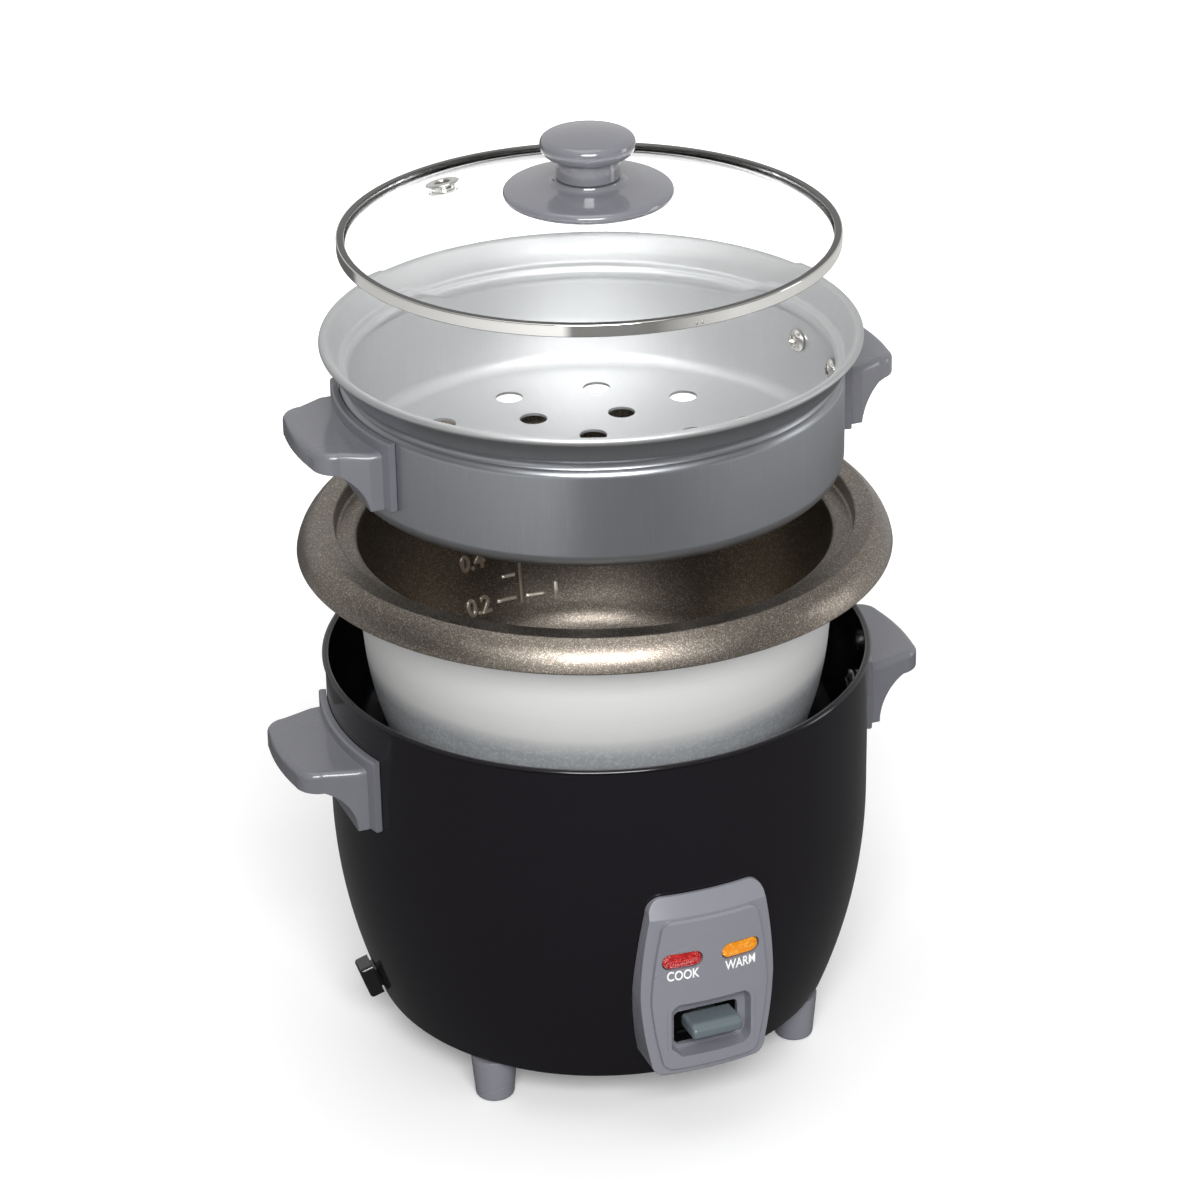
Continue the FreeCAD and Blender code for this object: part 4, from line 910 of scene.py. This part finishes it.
def makeFeet(settings):
    work = bmesh.new()
    for middle in (-90, 90):
        for a in (-settings["half"], settings["half"]):
            turn = math.radians(middle + settings["turn"] + a)
            lathe(work, settings["profile"], 0.0, 72,
                  (settings["ring"] * math.cos(turn), settings["ring"] * math.sin(turn)), step=1.0)
    feet = finishMesh("feetGrey", work, [paint["panelGrey"]])
    weighted(feet)
    settle(feet, "base", ["feet"])


makeFeet(footSet)
print("feet made")


def makeCapSpring():
    # own copy of the coil under the thermostat cap, which goes down; the copy has a mesh of its own
    source = nodes["sensor_spring"]
    data = source.data.copy()
    data.transform(source.matrix_world)
    data.materials.clear()
    data.materials.append(paint["springSteel"])
    coil = bpy.data.objects.new("capSpring", data)
    scene.collection.objects.link(coil)
    coil.modifiers.new("creases", "NODES").node_group = creaseKeeper
    weighted(coil)
    settle(coil, "base", ["sensor_spring"])
    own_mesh(coil)


makeCapSpring()
print("cap spring made")

finishes = {
    "base_cover": "coverSteel", "foot_screws": "screwSteel", "inner_tray": "trayZinc",
    "heating_plate": "castAluminium", "element_pins": "screwSteel", "plate_posts": "screwSteel",
    "thermostat_cup": "trayZinc", "sensor_cap": "castAluminium",
    "magnet_rod": "screwSteel", "lever_arm": "trayZinc", "lever_paddle": "leverGrey", "lever_bracket": "trayZinc",
    "lever_pin": "screwSteel", "microswitch": "blackPlastic", "thermal_fuse": "ceramic",
    "terminal_block": "ceramic", "warm_resistor": "ceramic", "cook_lamp": "lampGlass", "warm_lamp": "lampGlass",
    "lamp_board": "laminate", "control_panel": "panelGrey", "cord_gland": "glandBlack", "wiring": "wireSleeve",
    "body_handle_left": "handleGrey", "body_handle_right": "handleGrey", "handle_screws": "screwSteel",
    "steamer_handle_left": "handleGrey", "steamer_handle_right": "handleGrey", "steamer_screws": "screwSteel",
    "knob_screw": "screwSteel", "knob_washer": "silicone", "vent_eyelet": "bandSteel",
}
for name, material in finishes.items():
    dress(name, material)
print("finishes set:", len(finishes))

studioSet = {
    "floorSeen": 0.9, "floorLit": 0.5,
    # the floor's glow is painted light, weak near the cooker and strong further off
    "nearGlow": 0.14, "farGlow": 0.6, "glowRise": (0.15, 0.6),
    # what reflections see on the floor, by place: painted reflections, dark near the cooker and bright far off to the
    # sides
    "nearMirrored": 0.11, "farMirrored": 0.75, "farSide": 0.16,
    "farRise": (0.6, 0.68), "brightLeft": (-0.55, -0.49), "brightRight": (0.1, 0.7),
    "lights": [
        ("key", (-0.5, -1.5, 1.2), (0.0, 0.0, 0.15), (1.0, 0.6), 34.0),
        ("top", (-0.1, 0.0, 1.7), (0.0, 0.0, 0.2), (1.2, 1.0), 5.0),
        ("right", (1.4, -0.4, 0.4), (0.0, 0.0, 0.2), (0.35, 0.7), 2.0),
        ("back", (0.9, 1.5, 0.6), (0.0, 0.0, 0.15), (1.2, 0.7), 7.0),
    ],
    "skyFront": 0.16, "skyBack": 0.62, "skyTop": 0.42, "backWay": (0.37, 0.93),
}


def makeStudio(settings):
    # pale to look at; what it gives to bounced light is a plain grey, and what it gives to reflections is set by
    # place on the floor: painted reflections, dark near the cooker and bright far off to the left and right; seen
    # directly and through glass it also glows as painted light, weakly near the cooker and strongly further off
    material, tree, shader = newMaterial("paleFloor")
    path = add(tree, "LightPath").outputs
    seen = calc(tree, "MAXIMUM", path["Is Camera Ray"], path["Is Transmission Ray"])
    spot = add(tree, "TexCoord").outputs["Object"]
    tone = useGroup(tree, mottle, Vector=spot, Broad=3.0, Fine=60.0, Amount=0.006)
    parts = add(tree, "SeparateXYZ", {0: spot}).outputs
    away = calc(tree, "SQRT", calc(tree, "ADD", calc(tree, "MULTIPLY", parts[0], parts[0]),
                                   calc(tree, "MULTIPLY", parts[1], parts[1])))
    sideways = calc(tree, "DIVIDE", parts[0], away)
    # painted reflections: bright zones far off to the left and right, dark near the cooker and elsewhere
    left = remap(tree, sideways, *settings["brightLeft"], 1.0, 0.0)
    right = remap(tree, sideways, *settings["brightRight"], 0.0, 1.0)
    far = remap(tree, calc(tree, "MAXIMUM", left, right), 0.0, 1.0, settings["farSide"], settings["farMirrored"])
    outward = remap(tree, away, *settings["farRise"], 0.0, 1.0)
    extra = calc(tree, "MULTIPLY", outward, calc(tree, "SUBTRACT", far, settings["nearMirrored"]))
    mirrored = calc(tree, "ADD", settings["nearMirrored"], extra)
    soft = path["Is Diffuse Ray"]
    mirrored = calc(tree, "ADD", calc(tree, "MULTIPLY", soft, settings["floorLit"]),
                    calc(tree, "MULTIPLY", calc(tree, "SUBTRACT", 1.0, soft), mirrored))
    shown = calc(tree, "MULTIPLY", settings["floorSeen"], tone["Shade"])
    value = calc(tree, "ADD", calc(tree, "MULTIPLY", seen, shown),
                 calc(tree, "MULTIPLY", calc(tree, "SUBTRACT", 1.0, seen), mirrored))
    shader.inputs["Emission Color"].default_value = (1.0, 1.0, 1.0, 1.0)
    # painted light: the floor glows, weakly near the cooker and strongly further off
    glow = remap(tree, away, *settings["glowRise"], settings["nearGlow"], settings["farGlow"])
    tree.links.new(calc(tree, "MULTIPLY", seen, glow), shader.inputs["Emission Strength"])
    tree.links.new(add(tree, "CombineColor", {0: value, 1: value, 2: value}).outputs[0], shader.inputs["Base Color"])
    shader.inputs["Roughness"].default_value = 0.9
    shader.inputs["Specular IOR Level"].default_value = 0.0
    work = bmesh.new()
    bmesh.ops.create_grid(work, x_segments=24, y_segments=24, size=12.0)
    floor = finishMesh("floor", work, [material])
    for name, spot, aim, size, power in settings["lights"]:
        data = bpy.data.lights.new(name, "AREA")
        data.shape, data.size, data.size_y, data.energy = "RECTANGLE", size[0], size[1], power
        light = bpy.data.objects.new(name, data)
        scene.collection.objects.link(light)
        light.location = spot
        light.rotation_mode = "QUATERNION"
        light.rotation_quaternion = (Vector(aim) - Vector(spot)).to_track_quat("-Z", "Y")
        light.visible_camera = False
        light.visible_glossy = name != "back"  # the fill from behind leaves no highlight
    world = bpy.data.worlds.new("studio")
    world.use_nodes = True
    scene.world = world
    tree = world.node_tree
    back = tree.nodes["Background"]
    direction = add(tree, "TexCoord").outputs["Generated"]
    parts = add(tree, "SeparateXYZ", {0: direction}).outputs
    behind = calc(tree, "ADD", calc(tree, "MULTIPLY", parts[0], settings["backWay"][0]),
                  calc(tree, "MULTIPLY", parts[1], settings["backWay"][1]))
    level = remap(tree, behind, -0.1, 0.6, settings["skyFront"], settings["skyBack"])
    rise = remap(tree, parts[2], 0.3, 0.95, 0.0, 1.0)
    glow = calc(tree, "ADD", level, calc(tree, "MULTIPLY", rise, calc(tree, "SUBTRACT", settings["skyTop"], level)))
    path = add(tree, "LightPath").outputs
    seen = calc(tree, "MAXIMUM", path["Is Camera Ray"], path["Is Transmission Ray"])
    level = calc(tree, "ADD", calc(tree, "MULTIPLY", seen, 1.0),
                 calc(tree, "MULTIPLY", calc(tree, "SUBTRACT", 1.0, seen), glow))
    tree.links.new(level, back.inputs["Strength"])
    back.inputs["Color"].default_value = (1.0, 1.0, 1.0, 1.0)


makeStudio(studioSet)
print("studio made")
